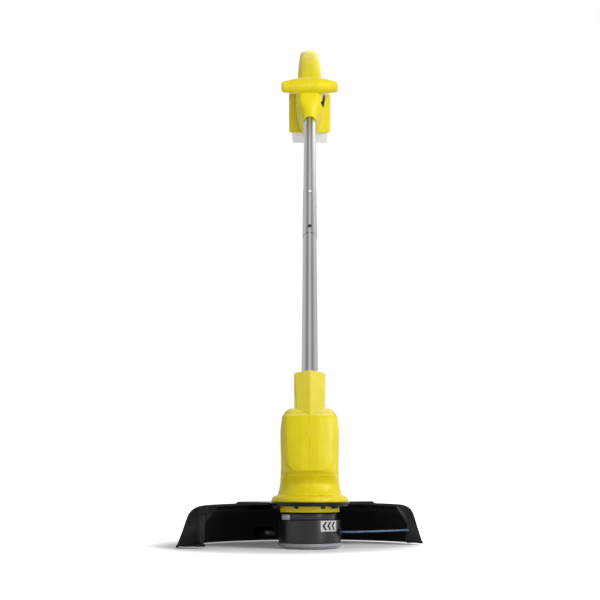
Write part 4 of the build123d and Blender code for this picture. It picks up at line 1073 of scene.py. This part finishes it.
for azimuth in SCREW_AZIMUTHS:
    x = SCREW_RING * math.cos(math.radians(azimuth))
    y = SCREW_RING * math.sin(math.radians(azimuth))
    holes.append(drill("screw_hole", (x, y, 0.03), (x, y, 0.07), SCREW_HOLE, 24))
cut(hub, holes)
guard = joined("guard_shell", shells)
smooth_below(guard, 28)
finished(guard, "black_shell", "frame", "guard")

# %% [markdown]
# ## Drum
# The drum is a cup with a narrower neck and a groove under it. Its wall is spun, and the windows of
# the two tabs and the hole for the line are cut out of it.

# %% Drum
DRUM_OUTLINE = [
    # radius, height
    (8.3, 18), (12, 18), (12, 39), (31.1, 39), (31.1, 31.1), (35.2, 31.1), (35.2, 7.0), (37.2, 7.0),
    (37.6, 7.4), (37.6, 32.3), (37.45, 32.9), (37.05, 33.35), (36.4, 33.5), (32.8, 33.5), (32.8, 34.5),
    (33.4, 34.8), (33.5, 35.2), (33.5, 40.2), (33.3, 40.8), (32.8, 41.25), (32.2, 41.4), (8.3, 41.4),
]
REAR_TAB = 34
FRONT_TAB = 214
LINE_AZIMUTH = -20

drum = spun_profile("drum_shell", metres(DRUM_OUTLINE), 144)
windows = [drill("line_hole", (0.03, 0, 0.0195), (0.05, 0, 0.0195), 0.0033, 32)]
at_azimuth(windows[0], math.radians(LINE_AZIMUTH))
for azimuth in (REAR_TAB, FRONT_TAB):
    window = crate("tab_window", (0.0251, -0.0071, 0.0337), (0.05, 0.0071, 0.0402))
    windows.append(at_azimuth(window, math.radians(azimuth)))
cut(drum, windows)
smooth_below(drum, 30)
finished(drum, "black_shell", "drum", "spool_drum")
drum.data.materials[0] = drum_black

# %% [markdown]
# ## Direction plate
# A thin silver plate lies on the front of the drum, with three black chevrons that show which way
# it turns. The plate is a strip turned about the drum's axis, and the chevrons are flat outlines
# wrapped round it.

# %% Direction plate
PLATE_START = -70.0
PLATE_END = -34.0
PLATE_R = 37.95
PLATE_LOW = 20.7
PLATE_HIGH = 33.2
PLATE_OUTLINE = [
    (37.3, PLATE_LOW), (37.75, PLATE_LOW), (PLATE_R, 20.9), (PLATE_R, 33.0), (37.75, PLATE_HIGH),
    (37.3, PLATE_HIGH),
]
CHEVRONS = 3
CHEVRON_START = 2.0   # from the plate's end to the first point
CHEVRON_STEPS = 6
CHEVRON_SUNK = 0.1
CHEVRON_PROUD = 0.12
CHEVRON_ARM = 3.5
CHEVRON_BAND = 2.7
CHEVRON_RISE = 4.7
CHEVRON_PITCH = 6.5


def wrapped(name, outline, inner, outer):
    """A flat outline of arc length and height, wrapped round the drum between two radii."""
    count = len(outline)
    points = []
    for radius in (inner, outer):
        for arc, height in outline:
            angle = arc / outer
            points.append(Vector((radius * math.cos(angle), radius * math.sin(angle), height)) * MM)
    faces = [tuple(range(count)), tuple(range(count, 2 * count))]
    for number in range(count):
        following = (number + 1) % count
        faces.append((number, following, following + count, number + count))
    return new_piece(name, points, faces)


plate = spun_profile("direction_plate", metres(PLATE_OUTLINE), 40,
                     math.radians(PLATE_START), math.radians(PLATE_END - PLATE_START))
finished(plate, "silver_plastic", "drum")
middle = (PLATE_LOW + PLATE_HIGH) / 2
marks = []
for number in range(CHEVRONS):
    apex = math.radians(PLATE_START) * PLATE_R + CHEVRON_START + number * CHEVRON_PITCH
    upper = []
    lower = []
    for step in range(CHEVRON_STEPS + 1):
        share = step / CHEVRON_STEPS
        upper.append((apex + CHEVRON_ARM * share, middle + CHEVRON_RISE * share))
        lower.append((apex + CHEVRON_ARM * share, middle - CHEVRON_RISE * share))
    for name, edge in (("upper_arm", upper), ("lower_arm", lower)):
        outline = edge + [(arc + CHEVRON_BAND, height) for arc, height in edge[::-1]]
        marks.append(wrapped(name, outline, PLATE_R - CHEVRON_SUNK, PLATE_R + CHEVRON_PROUD))
chevrons = united("direction_chevrons", marks)
finished(chevrons, "black_shell", "drum")

# %% [markdown]
# ## Softer edges
# The smaller visible pieces keep the shape of the CAD model. A copy of each is merged, its flat
# faces are made whole again, and its edges are rounded a little.

# %% Softer edges
SOFT_PIECES = [
    # CAD node, body, material slot, edge radius in millimetres
    ("latch_tab_front", "front_tab", "silver_plastic", 0.45),
    ("latch_tab_rear", "rear_tab", "silver_plastic", 0.45),
    ("trigger", "trigger_lever", "black_shell", 1.6),
    ("lock_off_button", "lock_button", "black_shell", 0.7),
    ("battery_case_top", "battery", "pale_shell", 1.0),
    ("battery_case_bottom", "battery", "pale_shell", 1.4),
    ("battery_latch", "latch", "pale_shell", 0.7),
    ("line_cutter", "frame", "dark_steel", 0.2),
]
FLAT_ANGLE = math.radians(0.5)   # faces that meet at less than this are one
EDGE_ANGLE = math.radians(50)    # and edges sharper than this are rounded
SMOOTH_ANGLE = 35


def merged_copy(node, name):
    """A copy of a CAD piece, in place, with its points merged."""
    mesh = nodes[node].data.copy()
    mesh.transform(nodes[node].matrix_world)
    mesh.name = name
    piece = bpy.data.objects.new(name, mesh)
    scene.collection.objects.link(piece)
    return outward(piece)


def softened(node, body, slot, radius):
    """A copy of a CAD piece with its edges rounded."""
    piece = merged_copy(node, node + "_soft")
    modify(piece, "DECIMATE", decimate_type="DISSOLVE", angle_limit=FLAT_ANGLE)
    modify(piece, "BEVEL", width=radius * MM, segments=2, limit_method="ANGLE", angle_limit=EDGE_ANGLE)
    smooth_below(piece, SMOOTH_ANGLE)
    finished(piece, slot, body, node)


for node, body, slot, radius in SOFT_PIECES:
    softened(node, body, slot, radius)

# %% [markdown]
# ## Springs
# A spring that a button, a tab or the trigger presses has to get shorter. Here each such CAD spring
# is copied with its points merged, shaded smooth and given its finish, but it is not squashed.

# %% Springs
SHAFT_DOWN = shaft_frame.to_3x3() @ Vector((0, 0, -1))
TAB_ANGLE = math.radians(REAR_TAB)
TAB_INWARD = Vector((math.cos(TAB_ANGLE), math.sin(TAB_ANGLE), 0))  # as the front tab is pressed
TRIGGER_ARM = 43.0    # from the trigger's pin to its spring
TRIGGER_PULL = math.radians(9)
SPRINGS = [
    # CAD node, body, joint, direction of the press, travel in millimetres
    ("latch_tab_spring_front", "drum", "front_tab_press", TAB_INWARD, 2.0),
    ("latch_tab_spring_rear", "drum", "rear_tab_press", -TAB_INWARD, 2.0),
    ("snap_spring", "frame", "snap_button_press", SHAFT_DOWN, 2.6),
    ("trigger_spring", "frame", "trigger_pull", -SHAFT_DOWN, TRIGGER_ARM * TRIGGER_PULL),
    ("lock_off_spring", "frame", "lock_off_press", Vector((-1, 0, 0)), 3.5),
    ("battery_latch_spring", "battery", "battery_latch_press", SHAFT_DOWN, 3.5),
]
for node, body, joint, direction, travel in SPRINGS:
    spring = merged_copy(node, node + "_pressed")
    smooth_below(spring, SMOOTH_ANGLE)
    finished(spring, "spring_steel", body, node)
    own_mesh(spring)
